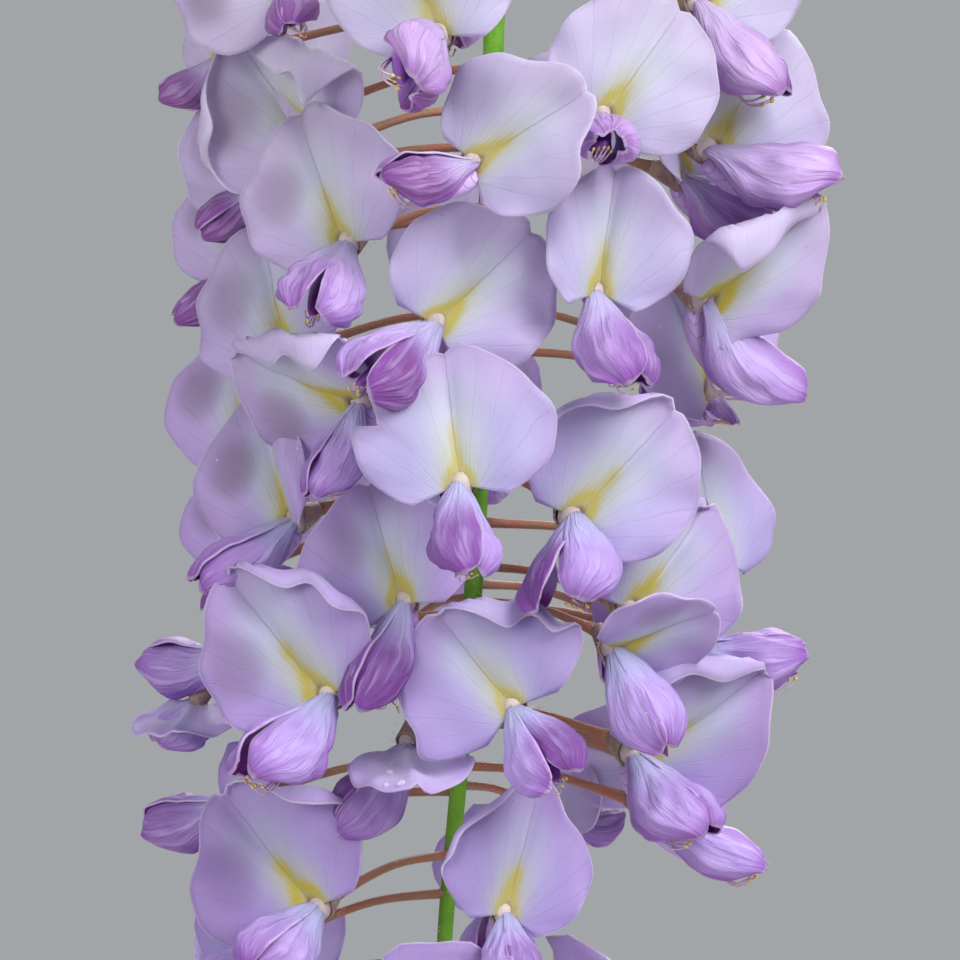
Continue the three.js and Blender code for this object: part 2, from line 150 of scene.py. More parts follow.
tubeScale = 100.0  # length of tube for each unit of its flat place


# A tube along points with a radius for each; its ends are closed. swell may push a point out or in.
def addTube(bm, points, radii, sides, tint=0.5, material=0, swell=None):
    tangents = []
    for i in range(len(points)):
        ahead = points[min(i + 1, len(points) - 1)] - points[max(i - 1, 0)]
        tangents.append(ahead.normalized())
    side = tangents[0].orthogonal().normalized()
    frames, lengths, length = [], [], 0.0
    for i, tangent in enumerate(tangents):
        side = (side - tangent * side.dot(tangent)).normalized()
        frames.append((side, tangent.cross(side)))
        length += (points[i] - points[i - 1]).length if i else 0.0
        lengths.append(length)
    last = len(points) - 1

    def spot(around, along):
        i = round(along * last)
        turn = around * math.tau
        radius = radii[i]
        if swell:
            radius += swell(turn, lengths[i], radius)
        first, second = frames[i]
        place = points[i] + (first * math.cos(turn) - second * math.sin(turn)) * radius
        return place, (around, lengths[i] / tubeScale), along

    verts = addSheet(bm, sides, last, spot, tint=tint, weld=True, material=material)
    ends = [edge for edge in joining(verts, "link_edges") if edge.is_boundary]
    bmesh.ops.holes_fill(bm, edges=ends, sides=sides)


def addBall(bm, centre, size, turn=Matrix(), detail=1, tint=0.5, material=0):
    tints = bm.verts.layers.float["tint"]
    place = Matrix.Translation(centre) @ turn.to_4x4() @ Matrix.Diagonal((*size, 1))
    verts = bmesh.ops.create_icosphere(bm, subdivisions=detail, radius=1, matrix=place)["verts"]
    for vert in verts:
        vert[tints] = tint
    for face in joining(verts, "link_faces"):
        face.smooth = True
        face.material_index = material


def placeObject(name, data):
    made = bpy.data.objects.new(name, data)
    bpy.context.scene.collection.objects.link(made)
    return made


def meshObject(name, bm, materials=(), scale=mm):
    bmesh.ops.scale(bm, vec=(scale, scale, scale), verts=bm.verts)
    mesh = bpy.data.meshes.new(name)
    bm.to_mesh(mesh)
    bm.free()
    for material in materials:
        mesh.materials.append(material)
    return placeObject(name, mesh)


def finishPiece(name, bm, materials, slot, *nodes):
    piece = meshObject(name, bm, materials)
    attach(piece, "root")
    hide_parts(*nodes)
    return piece


def colour(code):
    channels = [int(code[i : i + 2], 16) / 255 for i in (0, 2, 4)]
    return (*((c / 12.92 if c <= 0.04045 else ((c + 0.055) / 1.055) ** 2.4) for c in channels), 1.0)


def feed(tree, socket, value):
    if isinstance(value, bpy.types.NodeSocket):
        tree.links.new(value, socket)
    elif value is not None:
        socket.default_value = value


def addNode(tree, kind, settings=None, inputs=None):
    node = tree.nodes.new("ShaderNode" + kind)
    for key, value in (settings or {}).items():
        setattr(node, key, value)
    for key, value in (inputs or {}).items():
        feed(tree, node.inputs[key], value)
    return node


def sums(tree, operation, first, second=None, third=None):
    inputs = {0: first, 1: second, 2: third}
    return addNode(tree, "Math", {"operation": operation}, inputs).outputs[0]


def times(tree, first, second):
    return sums(tree, "MULTIPLY", first, second)


def scaled(tree, value, factor, lift):
    return sums(tree, "MULTIPLY_ADD", value, factor, lift)


# 0 below low, 1 above high, eased between; the other way round where low is above high.
def between(tree, value, low, high):
    inputs = {"Value": value, "From Min": low, "From Max": high}
    return addNode(tree, "MapRange", {"interpolation_type": "SMOOTHSTEP"}, inputs).outputs["Result"]


def blend(tree, share, first, second):
    node = addNode(tree, "Mix", {"data_type": "RGBA"}, {"Factor": share, "A": first, "B": second})
    return next(out for out in node.outputs if out.type == "RGBA")


# Lays a second colour over a first where the mask is, at a share of the mask's strength.
def lay(tree, under, over, mask, share=None):
    return blend(tree, mask if share is None else times(tree, mask, share), under, over)


def attribute(tree, name):
    return addNode(tree, "Attribute", {"attribute_name": name}).outputs["Fac"]


def spotAt(tree, x, y, z=None):
    return addNode(tree, "CombineXYZ", None, {0: x, 1: y, 2: z}).outputs[0]


def cloudsAt(tree, place, scale, detail, **more):
    pattern = {"Vector": place, "Scale": scale, "Detail": detail, **more}
    return addNode(tree, "TexNoise", None, pattern).outputs[0]


def cellsAt(tree, place, scale):
    return addNode(tree, "TexVoronoi", None, {"Vector": place, "Scale": scale}).outputs["Distance"]


def objectPlace(tree):
    return addNode(tree, "TexCoord").outputs["Object"]


def heightUp(tree):
    return addNode(tree, "SeparateXYZ", None, {0: objectPlace(tree)}).outputs[2]


# The flat place of a petal or leaf point: across from its midline and up from its foot, in millimetres.
flatScale, flatLift = 30.0, 4.0


def flatUv(across, up):
    return (across / flatScale + 0.5, (up + flatLift) / flatScale)


def flatShares(tree):
    flat = addNode(tree, "UVMap", {"uv_map": "flat"}).outputs[0]
    return addNode(tree, "SeparateXYZ", None, {0: flat}).outputs[:2]


def flatPlace(tree):
    across, up = flatShares(tree)
    return scaled(tree, across, flatScale, -flatScale / 2), scaled(tree, up, flatScale, -flatLift)


def newGroup(name, inputs, outputs):
    tree = bpy.data.node_groups.new(name, "ShaderNodeTree")
    for socket, value in inputs.items():
        made = tree.interface.new_socket(socket, in_out="INPUT", socket_type="NodeSocketFloat")
        made.default_value = value
    for socket in outputs:
        tree.interface.new_socket(socket, in_out="OUTPUT", socket_type="NodeSocketFloat")
    return tree, tree.nodes.new("NodeGroupInput").outputs, tree.nodes.new("NodeGroupOutput").inputs


def useGroup(tree, group, inputs=None):
    node = tree.nodes.new("ShaderNodeGroup")
    node.node_tree = group
    for key, value in (inputs or {}).items():
        feed(tree, node.inputs[key], value)
    return node.outputs


# Veins that fan out from the foot, each a line of even width that wanders a little.
def makeVeinGroup():
    sockets = {"Across": 0, "Up": 0, "Count": 12, "Width": 0.1, "Wander": 0.1, "Foot": 3}
    tree, given, result = newGroup("fanVeins", sockets, ["Veins"])
    raised = sums(tree, "ADD", given["Up"], given["Foot"])
    angle = sums(tree, "ARCTAN2", given["Across"], raised)
    far = sums(tree, "SQRT", scaled(tree, raised, raised, times(tree, given["Across"], given["Across"])))
    drift = cloudsAt(tree, spotAt(tree, given["Across"], given["Up"]), 0.22, 2.0)
    wander = times(tree, sums(tree, "SUBTRACT", drift, 0.5), given["Wander"])
    wave = sums(tree, "SINE", times(tree, sums(tree, "ADD", angle, wander), given["Count"]))
    gap = sums(tree, "DIVIDE", times(tree, sums(tree, "ABSOLUTE", wave), far), given["Count"])
    feed(tree, result["Veins"], between(tree, gap, given["Width"], 0.0))
    return tree


# Soft clouds of colour, from 0 to 1, on the piece's own place.
def makeCloudGroup():
    tree, given, result = newGroup("clouds", {"Size": 0.01, "Detail": 3, "Low": 0.4, "High": 0.6}, ["Mask"])
    scale = sums(tree, "DIVIDE", 1.0, given["Size"])
    cloud = cloudsAt(tree, objectPlace(tree), scale, given["Detail"])
    feed(tree, result["Mask"], between(tree, cloud, given["Low"], given["High"]))
    return tree


# Fine uneven grain as a height, with rounder cells in it.
def makeGrainGroup():
    tree, given, result = newGroup("grain", {"Size": 0.0003, "Cells": 0.5}, ["Height"])
    scale = sums(tree, "DIVIDE", 1.0, given["Size"])
    place = objectPlace(tree)
    fine = cloudsAt(tree, place, scale, 3.0)
    cells = times(tree, cellsAt(tree, place, scale), given["Cells"])
    feed(tree, result["Height"], sums(tree, "ADD", fine, cells))
    return tree


# Crumpled folds that run up a wing, as a soft height, and the thin creases between them.
def makeWrinkleGroup():
    tree, given, result = newGroup("wrinkles", {"Across": 0, "Up": 0, "Tint": 0.5}, ["Folds", "Creases"])
    # height and tint make each wing's folds its own
    own = scaled(tree, heightUp(tree), 55.0, times(tree, given["Tint"], 20.0))
    place = spotAt(tree, times(tree, given["Across"], 1.5), times(tree, given["Up"], 0.2), own)
    folds = cloudsAt(tree, place, 0.75, 2.5, Distortion=0.12)
    feed(tree, result["Folds"], between(tree, folds, 0.3, 0.7))
    line = sums(tree, "ABSOLUTE", sums(tree, "SUBTRACT", folds, 0.49))
    feed(tree, result["Creases"], between(tree, line, 0.045, 0.0))
    return tree


veinGroup, cloudGroup, grainGroup = makeVeinGroup(), makeCloudGroup(), makeGrainGroup()
wrinkleGroup = makeWrinkleGroup()


def fanVeins(tree, across, up, count, width, wander=0.1, foot=3.0):
    given = {"Across": across, "Up": up, "Count": count, "Width": width, "Wander": wander, "Foot": foot}
    return useGroup(tree, veinGroup, given)["Veins"]


def cloudMask(tree, size, low, high, detail=3):
    return useGroup(tree, cloudGroup, {"Size": size, "Low": low, "High": high, "Detail": detail})["Mask"]


def grainHeight(tree, size, cells=0.5):
    return useGroup(tree, grainGroup, {"Size": size, "Cells": cells})["Height"]


def newMaterial(name, roughness, specular=0.5):
    material = bpy.data.materials.new(name)
    material.use_nodes = True
    tree = material.node_tree
    shader = tree.nodes["Principled BSDF"]
    shader.inputs["Roughness"].default_value = roughness
    shader.inputs["Specular IOR Level"].default_value = specular
    return material, tree, shader


# Gives a material its colour and a relief of a depth in metres; a petal or leaf lets light through.
def paint(tree, shader, body, height, depth, strength=0.8, through=0.0):
    bump = {"Height": height, "Distance": depth, "Strength": strength}
    relief = addNode(tree, "Bump", None, bump).outputs[0]
    feed(tree, shader.inputs["Base Color"], body)
    feed(tree, shader.inputs["Normal"], relief)
    if through:
        thin = addNode(tree, "BsdfTranslucent", None, {"Color": body, "Normal": relief})
        both = addNode(tree, "MixShader", None, {0: through, 1: shader.outputs[0], 2: thin.outputs[0]})
        feed(tree, tree.nodes["Material Output"].inputs["Surface"], both.outputs[0])


# The colours of the petals, front and back.
petalTones = {
    "lilac": "bbb4e4", "pinkLilac": "c5aae3", "upper": "bba6cf", "heart": "cbd0e4", "margin": "be9ddb",
    "rimLine": "e6dcf2", "shade": "86708f", "faded": "dad7e3", "fresh": "9c80c4", "yellow": "cbbb35",
    "halo": "cdd2a6", "foot": "cdbfae", "midrib": "a09d9a", "vein": "9a8fc0",
    "back": "ded2f8", "backMargin": "cdb0ee", "backVein": "b095cf", "fadedBack": "eeebf4",
    "wingFoot": "c9cbf6", "wing": "cfb4f8", "wingTip": "ac6cda", "wingRim": "ecd8f6", "wingVein": "a87ccb",
    "wingPink": "e6bfe6", "wingEdge": "9650b8", "wingDark": "7a3f94", "wingMagenta": "934d90",
    "wingFoldShade": "a45cbb", "wingRidgeHighlight": "ead9f6", "wingCreaseShade": "7f47a6",
    "inside": "963fa6", "insideFoot": "bba4da", "keel": "dcbef6", "keelTip": "84329a",
}
tone = {key: colour(code) for key, code in petalTones.items()}
# How strongly a tone is laid on; the others are laid on in full.
petalShares = {
    "upper": 0.75, "shade": 0.7, "faded": 0.6, "fresh": 0.44, "vein": 0.07, "halo": 0.55, "foot": 0.4,
    "midrib": 0.36, "backVein": 0.14, "fadedBack": 0.6, "wingPink": 0.5, "wingVein": 0.06, "wingFoldShade": 0.19,
    "wingRidgeHighlight": 0.14, "wingCreaseShade": 0.13, "wingEdge": 0.45, "wingRim": 0.6, "inside": 0.3, "keelTip": 0.4,
}
fadeFrom, fadeTo = 0.475, 0.6  # heights between which the banners fade, in metres


def layTone(tree, under, key, mask, share=None):
    return lay(tree, under, tone[key], mask, share or petalShares.get(key))


def bannerMaterial():
    material, tree, shader = newMaterial("bannerFront", 0.5, 0.35)
    across, up = flatPlace(tree)
    rim, tint = attribute(tree, "rim"), attribute(tree, "tint")
    away = sums(tree, "ABSOLUTE", across)
    clouds = cloudMask(tree, 0.006, 0.3, 0.7)
    body = blend(tree, tint, tone["lilac"], tone["pinkLilac"])
    body = layTone(tree, body, "upper", between(tree, up, 6.0, 19.0))
    # a pale heart along the midrib that fades before the rim
    heartEdge = scaled(tree, up, 0.1, 3.6)
    heart = between(tree, sums(tree, "DIVIDE", away, heartEdge), 1.6, 0.2)
    heart = times(tree, heart, between(tree, rim, 1.05, 0.45))
    body = layTone(tree, body, "heart", heart)
    # a mauve blotch to one side of the midrib
    shadeAcross = scaled(tree, across, 0.24, 1.35)
    shadeUp = scaled(tree, up, 0.2, -1.9)
    shadeFar = scaled(tree, shadeAcross, shadeAcross, times(tree, shadeUp, shadeUp))
    shade = times(tree, between(tree, shadeFar, 1.3, 0.0), between(tree, tint, 0.35, 1.0))
    body = layTone(tree, body, "shade", shade)
    margin = times(tree, between(tree, rim, 0.6, 1.0), scaled(tree, clouds, 0.35, 0.3))
    body = layTone(tree, body, "margin", margin)
    # the blooms that opened first, higher up, have faded
    level = heightUp(tree)
    faded = times(tree, between(tree, level, fadeFrom, fadeTo), scaled(tree, shade, -0.4, 1.0))
    body = layTone(tree, body, "faded", faded)
    body = layTone(tree, body, "fresh", between(tree, level, 0.52, 0.45))
    veins = fanVeins(tree, across, up, 15.0, 0.09)
    fine = fanVeins(tree, across, up, 41.0, 0.06, wander=0.16)
    allVeins = scaled(tree, fine, 0.5, veins)
    body = layTone(tree, body, "vein", allVeins)
    # the mark at the foot: a yellow wedge with hollow sides that ends in a line, and a pale middle
    grown = sums(tree, "MAXIMUM", sums(tree, "ADD", up, 0.6), 0.0)
    outer = times(tree, sums(tree, "POWER", 0.76, grown), 1.75)
    middle = sums(tree, "SUBTRACT", times(tree, sums(tree, "POWER", 0.45, grown), 1.9), 0.25)
    streaks = scaled(tree, fine, -0.5, scaled(tree, clouds, 0.8, -0.3))
    spread = sums(tree, "ADD", away, streaks)
    wedge = between(tree, sums(tree, "SUBTRACT", spread, outer), 0.75, -0.45)
    mark = times(tree, wedge, between(tree, up, 9.0, 5.5))
    halo = times(tree, between(tree, away, 3.6, 0.6), between(tree, up, 11.0, 2.5))
    inner = between(tree, sums(tree, "SUBTRACT", away, middle), 0.35, -0.15)
    body = layTone(tree, body, "halo", halo)
    body = layTone(tree, body, "yellow", times(tree, mark, scaled(tree, tint, 0.22, 0.72)))
    body = layTone(tree, body, "foot", inner)
    midrib = times(tree, between(tree, away, 0.2, 0.04), between(tree, up, 19.0, 8.0))
    body = layTone(tree, body, "midrib", times(tree, midrib, between(tree, up, 1.5, 7.5)))
    # a thin painted highlight along the rim
    rimLine = times(tree, between(tree, rim, 0.978, 1.0), scaled(tree, clouds, 0.6, 0.35))
    body = layTone(tree, body, "rimLine", rimLine)
    height = scaled(tree, allVeins, -0.7, times(tree, grainHeight(tree, 0.00028), 0.5))
    paint(tree, shader, body, height, 0.00006, through=0.3)
    return material


def bannerBackMaterial():
    material, tree, shader = newMaterial("bannerBack", 0.55, 0.3)
    across, up = flatPlace(tree)
    rim = attribute(tree, "rim")
    body = blend(tree, between(tree, rim, 0.4, 1.0), tone["back"], tone["backMargin"])
    veins = fanVeins(tree, across, up, 19.0, 0.16)
    body = layTone(tree, body, "heart", cloudMask(tree, 0.004, 0.35, 0.65), 0.4)
    body = layTone(tree, body, "backVein", veins)
    body = layTone(tree, body, "fadedBack", between(tree, heightUp(tree), fadeFrom, fadeTo))
    # a thin painted highlight along the rim
    body = layTone(tree, body, "rimLine", between(tree, rim, 0.982, 0.997))
    paint(tree, shader, body, veins, 0.00003, strength=0.7, through=0.3)
    return material


def wingMaterial():
    material, tree, shader = newMaterial("wingOutside", 0.46, 0.4)
    across, up = flatPlace(tree)
    rim, tint = attribute(tree, "rim"), attribute(tree, "tint")
    clouds = cloudMask(tree, 0.005, 0.3, 0.7)
    body = blend(tree, between(tree, up, 1.5, 7.0), tone["wingFoot"], tone["wing"])
    # violet gathers towards the tip and the lower edge
    ends = sums(tree, "MAXIMUM", between(tree, up, 7.5, 13.0), between(tree, across, 0.8, 4.2))
    deep = times(tree, ends, scaled(tree, tint, 0.45, 0.5))
    deep = times(tree, deep, scaled(tree, clouds, 0.3, 0.7))
    body = layTone(tree, body, "wingTip", deep)
    wrinkles = useGroup(tree, wrinkleGroup, {"Across": across, "Up": up, "Tint": tint})
    # wings with a higher tint darken away from the foot, less on the fold ridges: partly their own deeper
    # colour, partly painted shade on wings turned from the light and in the fold valleys
    deepAndShaded = times(tree, between(tree, tint, 0.4, 1.12), between(tree, up, 1.5, 8.0))
    deepAndShaded = times(tree, deepAndShaded, scaled(tree, wrinkles["Folds"], -0.3, 1.0))
    # the blooms that opened first are pinker
    first = between(tree, heightUp(tree), 0.5, 0.585)
    body = lay(tree, body, blend(tree, first, tone["wingDark"], tone["wingMagenta"]), deepAndShaded)
    body = layTone(tree, body, "wingPink", times(tree, first, between(tree, deepAndShaded, 0.6, 0.0)))
    veins = fanVeins(tree, across, up, 17.0, 0.12, wander=0.25, foot=1.0)
    body = layTone(tree, body, "wingVein", veins)
    # painted shade in the fold valleys and their thin creases, and a painted highlight on the fold ridges
    valleyShade = times(tree, between(tree, wrinkles["Folds"], 0.5, 0.0), between(tree, up, 1.0, 6.0))
    body = layTone(tree, body, "wingFoldShade", valleyShade)
    body = layTone(tree, body, "wingRidgeHighlight", between(tree, wrinkles["Folds"], 0.6, 1.0))
    body = layTone(tree, body, "wingCreaseShade", wrinkles["Creases"])
    edged = times(tree, between(tree, rim, 0.6, 0.95), between(tree, up, 3.0, 9.0))
    body = layTone(tree, body, "wingEdge", edged)
    body = layTone(tree, body, "wingRim", between(tree, rim, 0.95, 0.99))
    height = scaled(tree, veins, -0.05, times(tree, grainHeight(tree, 0.0003), 0.07))
    height = scaled(tree, wrinkles["Creases"], -0.1, height)
    paint(tree, shader, body, scaled(tree, wrinkles["Folds"], 0.6, height), 0.0005, through=0.22)
    return material


def wingInsideMaterial():
    material, tree, shader = newMaterial("wingInside", 0.42, 0.4)
    across, up = flatPlace(tree)
    body = blend(tree, between(tree, up, 2.0, 11.0), tone["insideFoot"], tone["inside"])
    veins = fanVeins(tree, across, up, 17.0, 0.14, foot=1.0)
    body = layTone(tree, body, "keelTip", veins)
    paint(tree, shader, body, veins, 0.0001, through=0.15)
    return material


def keelMaterial():
    material, tree, shader = newMaterial("keelPetal", 0.42, 0.4)
    across, up = flatPlace(tree)
    tip = blend(tree, attribute(tree, "tint"), tone["wingTip"], tone["keelTip"])
    body = blend(tree, between(tree, up, 5.0, 13.0), tone["keel"], tip)
    veins = fanVeins(tree, across, up, 15.0, 0.12, foot=1.0)
    body = layTone(tree, body, "inside", veins)
    paint(tree, shader, body, veins, 0.0001, through=0.15)
    return material


# Plant stuff with two tones in clouds and fine grain, for stalks, stems, calyces and anthers.
def fleshMaterial(name, first, second, size=0.003, roughness=0.55, grainSize=0.0004, depth=0.0001):
    material, tree, shader = newMaterial(name, roughness, 0.4)
    body = blend(tree, cloudMask(tree, size, 0.35, 0.65), colour(first), colour(second))
    body = lay(tree, body, colour(second), attribute(tree, "tint"), 0.35)
    paint(tree, shader, body, grainHeight(tree, grainSize), depth)
    return material


# A clear drop with a painted highlight in its middle and painted shade at its edge.
def dewMaterial():
    material, tree, shader = newMaterial("dewDrop", 0.04, 1.0)
    facing = addNode(tree, "LayerWeight", None, {"Blend": 0.5}).outputs["Facing"]
    edge = between(tree, facing, 0.35, 0.95)
    feed(tree, shader.inputs["Base Color"], blend(tree, edge, colour("f6f4ff"), colour("8f86ad")))
    feed(tree, shader.inputs["Alpha"], scaled(tree, edge, 0.35, 0.34))
    shader.inputs["IOR"].default_value = 1.7
    return material


bannerFront, bannerBack = bannerMaterial(), bannerBackMaterial()
wingOutside, wingInside, keelPetal = wingMaterial(), wingInsideMaterial(), keelMaterial()
# Two tones for each soft part, and what differs from the usual size of the clouds, grain and roughness.
fleshes = {
    "stalkFlesh": ("b06a54", "997658", {}),
    "calyxFlesh": ("86606c", "a28f74", {"size": 0.002}),
    "footFlesh": ("d2c8b6", "b8a5a8", {"size": 0.002}),
    "stemFlesh": ("73ae28", "5e9b20", {"size": 0.004}),
    "antherFlesh": ("ecd98c", "dcb656", {"size": 0.0008, "grainSize": 0.0002}),
    "filamentFlesh": ("e6cfe0", "d9b3d6", {"size": 0.002}),
    "hairFlesh": ("d9d2c4", "c9c6a8", {"roughness": 0.7}),
}
flesh = {name: fleshMaterial(name, first, second, **more) for name, (first, second, more) in fleshes.items()}
# The materials of each kind of piece of a raceme.
racemeLooks = {
    "banners": [bannerFront, bannerBack], "wings": [wingOutside, wingInside], "keels": [keelPetal],
    "calyces": [flesh["calyxFlesh"], flesh["footFlesh"]], "stalks": [flesh["stalkFlesh"]],
    "stem": [flesh["stemFlesh"]], "buds": [keelPetal],
    "stamens": [flesh["filamentFlesh"], flesh["antherFlesh"]], "hairs": [flesh["hairFlesh"]],
    "dew": [dewMaterial()],
}
print("materials for petals and stalks made")

# A bloom's own frame has +x to its side, -y the way it faces and +z up its banner.
banner = {
    "halfWidth": 12.0, "halfHeight": 10.4, "centre": 7.4, "sweep": 153, "start": 0.05, "thickness": 0.26,
    "foldRadius": 0.8, "foldTurn": 156, "foldWidth": 5.6, "foldStart": 8, "foldSpan": 128,
    # the outline: how far it goes out or in, at which turn from the top and how wide, in degrees
    "apexWidth": 20, "lobeTurn": 128, "lobeWidth": 20,
    "shoulder": 0.045, "shoulderTurn": 46, "shoulderWidth": 22,
    "notch": 0.06, "notchWidth": 4.5, "rimWave": 0.02, "rimRipple": 0.012,
    # the relief: the midrib's ridge, the top's bend back or forward, the rim's frill and soft dents
    "ridge": 0.5, "ridgeWidth": 1.1, "reflex": 0.016, "arch": 0.03,
    "frill": 0.35, "dents": 1.5, "dentSize": 6.5,
    "grid": {"fine": (54, 15), "plain": (24, 9)},
}
wing = {
    "radius": 5.2, "height": 0.84, "reach": 0.95, "fullness": 1.45, "thickness": 0.26,
    "overlap": 7, "wrapFoot": 92, "wrap": 146, "wrapTip": 112, "lapLift": 0.34, "pull": 0.08, "flare": 0.4,
    # broad and fine crumples, even waves, a dent behind the middle and sharp creases
    "crumple": 1.3, "fineCrumple": 0.36, "waves": 0.15, "dent": 0.6, "crease": 0.62, "creaseWidth": 0.2,
    "grid": {"fine": (18, 20), "plain": (8, 10)},
}
usualWing = 13.4  # the wing length that a keel and its stamens are measured for
keel = {
    "length": 16.4, "width": 2.3, "depth": 2.8, "low": 1.7, "upturn": 3.6,
    "grid": {"fine": (14, 14), "plain": (8, 7)},
}
stamens = {"count": 5, "gap": 0.55, "radius": 0.1, "reach": 11.2, "anther": (0.2, 0.28, 0.38)}
calyx = {
    "length": 4.6, "mouth": 1.85, "foot": 1.0, "tooth": 1.2, "thickness": 0.3,
    "sunk": 0.5, "flare": 0.25, "disc": 3.4, "discSize": (1.65, 1.65, 1.9), "grid": (15, 6),
}
stalk = {"radius": 0.54, "rootFlare": 0.35, "tipFlare": 0.5, "steps": 10, "sides": 8}
# How many short hairs stand on each stalk, on each calyx and on the stem, and how long they are.
hairs = {
    "foot": 0.035, "tip": 0.006, "stalk": (26, 0.5), "calyx": (24, 0.5), "stem": (700, 0.6),
    "calyxRadius": 2.2, "calyxReach": 5, "stemRadius": 1.3,
}


# How wide a band of the rim is rolled over, at a turn in degrees from the banner's top.
def foldAt(turn, bloom):
    start, span = banner["foldStart"], banner["foldSpan"]
    left = bloom["curlLeft"] * math.sin(math.pi * clamp((-turn + start) / span)) ** 0.7
    right = bloom["curlRight"] * math.sin(math.pi * clamp((turn + start) / span)) ** 0.7
    wobble = 1 + 0.2 * math.sin(rad(turn) * 5 + bloom["phase"])
    return banner["foldWidth"] * max(left, right) * wobble


def bannerSpot(share, turn, bloom):
    angle = rad(turn)
    phase = bloom["phase"]
    rimAcross = banner["halfWidth"] * bloom["wide"] * math.sin(angle)
    rimUp = banner["centre"] + banner["halfHeight"] * math.cos(angle)
    full = math.hypot(rimAcross, rimUp)
    edge = 1 + bloom["apex"] * bell(turn, 0, banner["apexWidth"])
    edge += bloom["lobe"] * bell(abs(turn), banner["lobeTurn"], banner["lobeWidth"])
    edge -= banner["shoulder"] * bell(abs(turn), banner["shoulderTurn"], banner["shoulderWidth"])
    edge -= banner["notch"] * bell(turn, 0, banner["notchWidth"])
    wave, ripple = math.sin(4 * angle + phase), math.sin(9 * angle + 2 * phase)
    edge += banner["rimWave"] * wave + banner["rimRipple"] * ripple
    for notchTurn, notchWidth, notchDepth in bloom["notches"]:
        edge -= notchDepth * bell(turn, notchTurn, notchWidth)
    fold = foldAt(turn, bloom)
    length = full * edge + 0.6 * fold
    out = length * mix(banner["start"], 1, share)
    over = max(0.0, out - (length - fold))
    bend = min(over / banner["foldRadius"], rad(banner["foldTurn"]))
    rest = over - bend * banner["foldRadius"]
    flat = out - over + banner["foldRadius"] * math.sin(bend) + rest * math.cos(bend)
    forward = banner["foldRadius"] * (1 - math.cos(bend)) + rest * math.sin(bend)
    across, up = rimAcross / full * flat, rimUp / full * flat
    away = abs(across)
    valley = rad(bloom["foldLeft"] if across < 0 else bloom["foldRight"])
    depth = -away * math.sin(valley) * (1 - away / 22) - bloom["cup"] * away * (1 - away / 12)
    tall = max(up, 0) ** 2
    depth += banner["reflex"] * tall * bloom["reflex"] - banner["arch"] * tall * bloom["arch"]
    depth += banner["ridge"] * bell(across, 0, banner["ridgeWidth"]) * ease(0, 5, up)
    depth += bloom["ruffle"] * share**3 * math.sin(3.2 * angle + phase)
    depth += banner["frill"] * share**4 * math.sin(8 * angle + 2.3 * phase)
    size = banner["dentSize"]
    depth += banner["dents"] * share * noise.noise(Vector((across / size + phase, up / size, phase)))
    place = Vector((across * math.cos(valley), depth - forward + 0.3, up + 0.4)) * bloom["spread"]
    flatAcross, flatUp = rimAcross * share * edge, rimUp * share * edge
    return place, flatUv(flatAcross, flatUp), share


# A wing is one side of a pouch; along runs to its tip, around from its upper edge at -1 to its lower at 1.
def wingSpot(along, around, hand, bloom):
    phase, length = bloom["phase"], bloom["wingLength"]
    far = along * wing["reach"]
    swell = 0.17 * (1 - far) + math.sin(math.pi * far ** wing["fullness"]) ** 0.7
    lap = hand == bloom["over"]
    radius = wing["radius"] * bloom["plump"] * swell + (wing["lapLift"] if lap else 0)
    opened = bloom["openLeft"] if hand < 0 else bloom["openRight"]
    wrap = mix(wing["wrapFoot"], wing["wrap"], ease(0, 0.5, far))
    wrap = mix(wrap, wing["wrapTip"], ease(0.7, 1.0, far)) - opened * ease(0.1, 0.7, far)
    gape = bloom["gape"] * ease(0.05, 0.9, far)
    turn = rad(mix(gape - wing["overlap"], wrap + gape, (around + 1) / 2))
    broad = noise.noise(Vector((along * 2.6 + phase, around * 1.5, hand * 3.0)))
    fine = noise.noise(Vector((along * 5 + phase, around * 3.6, hand * 5.0 + 9)))
    crumple = broad * wing["crumple"] * along
    crumple += fine * wing["fineCrumple"] * ease(0, 0.5, along)
    crumple += wing["waves"] * math.sin(around * 8 + along * 3 + phase) * math.sin(math.pi * along)
    crumple -= wing["dent"] * math.exp(-(((along - 0.4) / 0.12) ** 2) - (((around + 0.3) / 0.3) ** 2))
    # creases are only for long wings in close view, and stop before the tip, where they would tear
    creased = clamp((length - 6) / 6) * (1 - ease(0.66, 0.88, along)) if bloom["detail"] == "fine" else 0.0
    line = noise.noise(Vector((along * 3.1 + phase, around * 1.7, hand * 7.0)))
    crumple -= wing["crease"] * creased * bell(line, 0, wing["creaseWidth"]) * ease(0.05, 0.4, along)
    flare = wing["flare"] * ease(0.8, 1.0, abs(around)) * along * swell
    radius += crumple * bloom["plump"] * min(1.0, swell + 0.3) + flare
    splay = bloom["splayLeft"] if hand < 0 else bloom["splayRight"]
    out = radius * math.sin(turn) + splay * far**2
    up = radius * wing["height"] * math.cos(turn) + bloom["upturn"] * far**2.2 - 0.4
    ahead = 0.9 - (length + 0.9) * (along - wing["pull"] * around**2 * along**5)
    rim = max(abs(around), ease(0.7, 1.0, along))
    return Vector((hand * out, ahead, up)), flatUv(around * 4.4, 13 * along), rim


def keelSpot(around, along, bloom):
    turn = around * math.tau
    swell = math.sin(math.pi * clamp(along**0.75)) ** 0.7
    length = keel["length"] * bloom["keelReach"] * bloom["wingLength"] / usualWing
    width = keel["width"] * swell * (1 if math.cos(turn) < 0 else 0.75)
    across = width * math.sin(turn)
    up = keel["depth"] * swell * math.cos(turn) * 0.75 - keel["low"] + keel["upturn"] * along**2.4
    ahead = 0.9 - length * along
    return Vector((across, ahead, up)), flatUv(math.sin(turn) * 4, keel["length"] * along), along


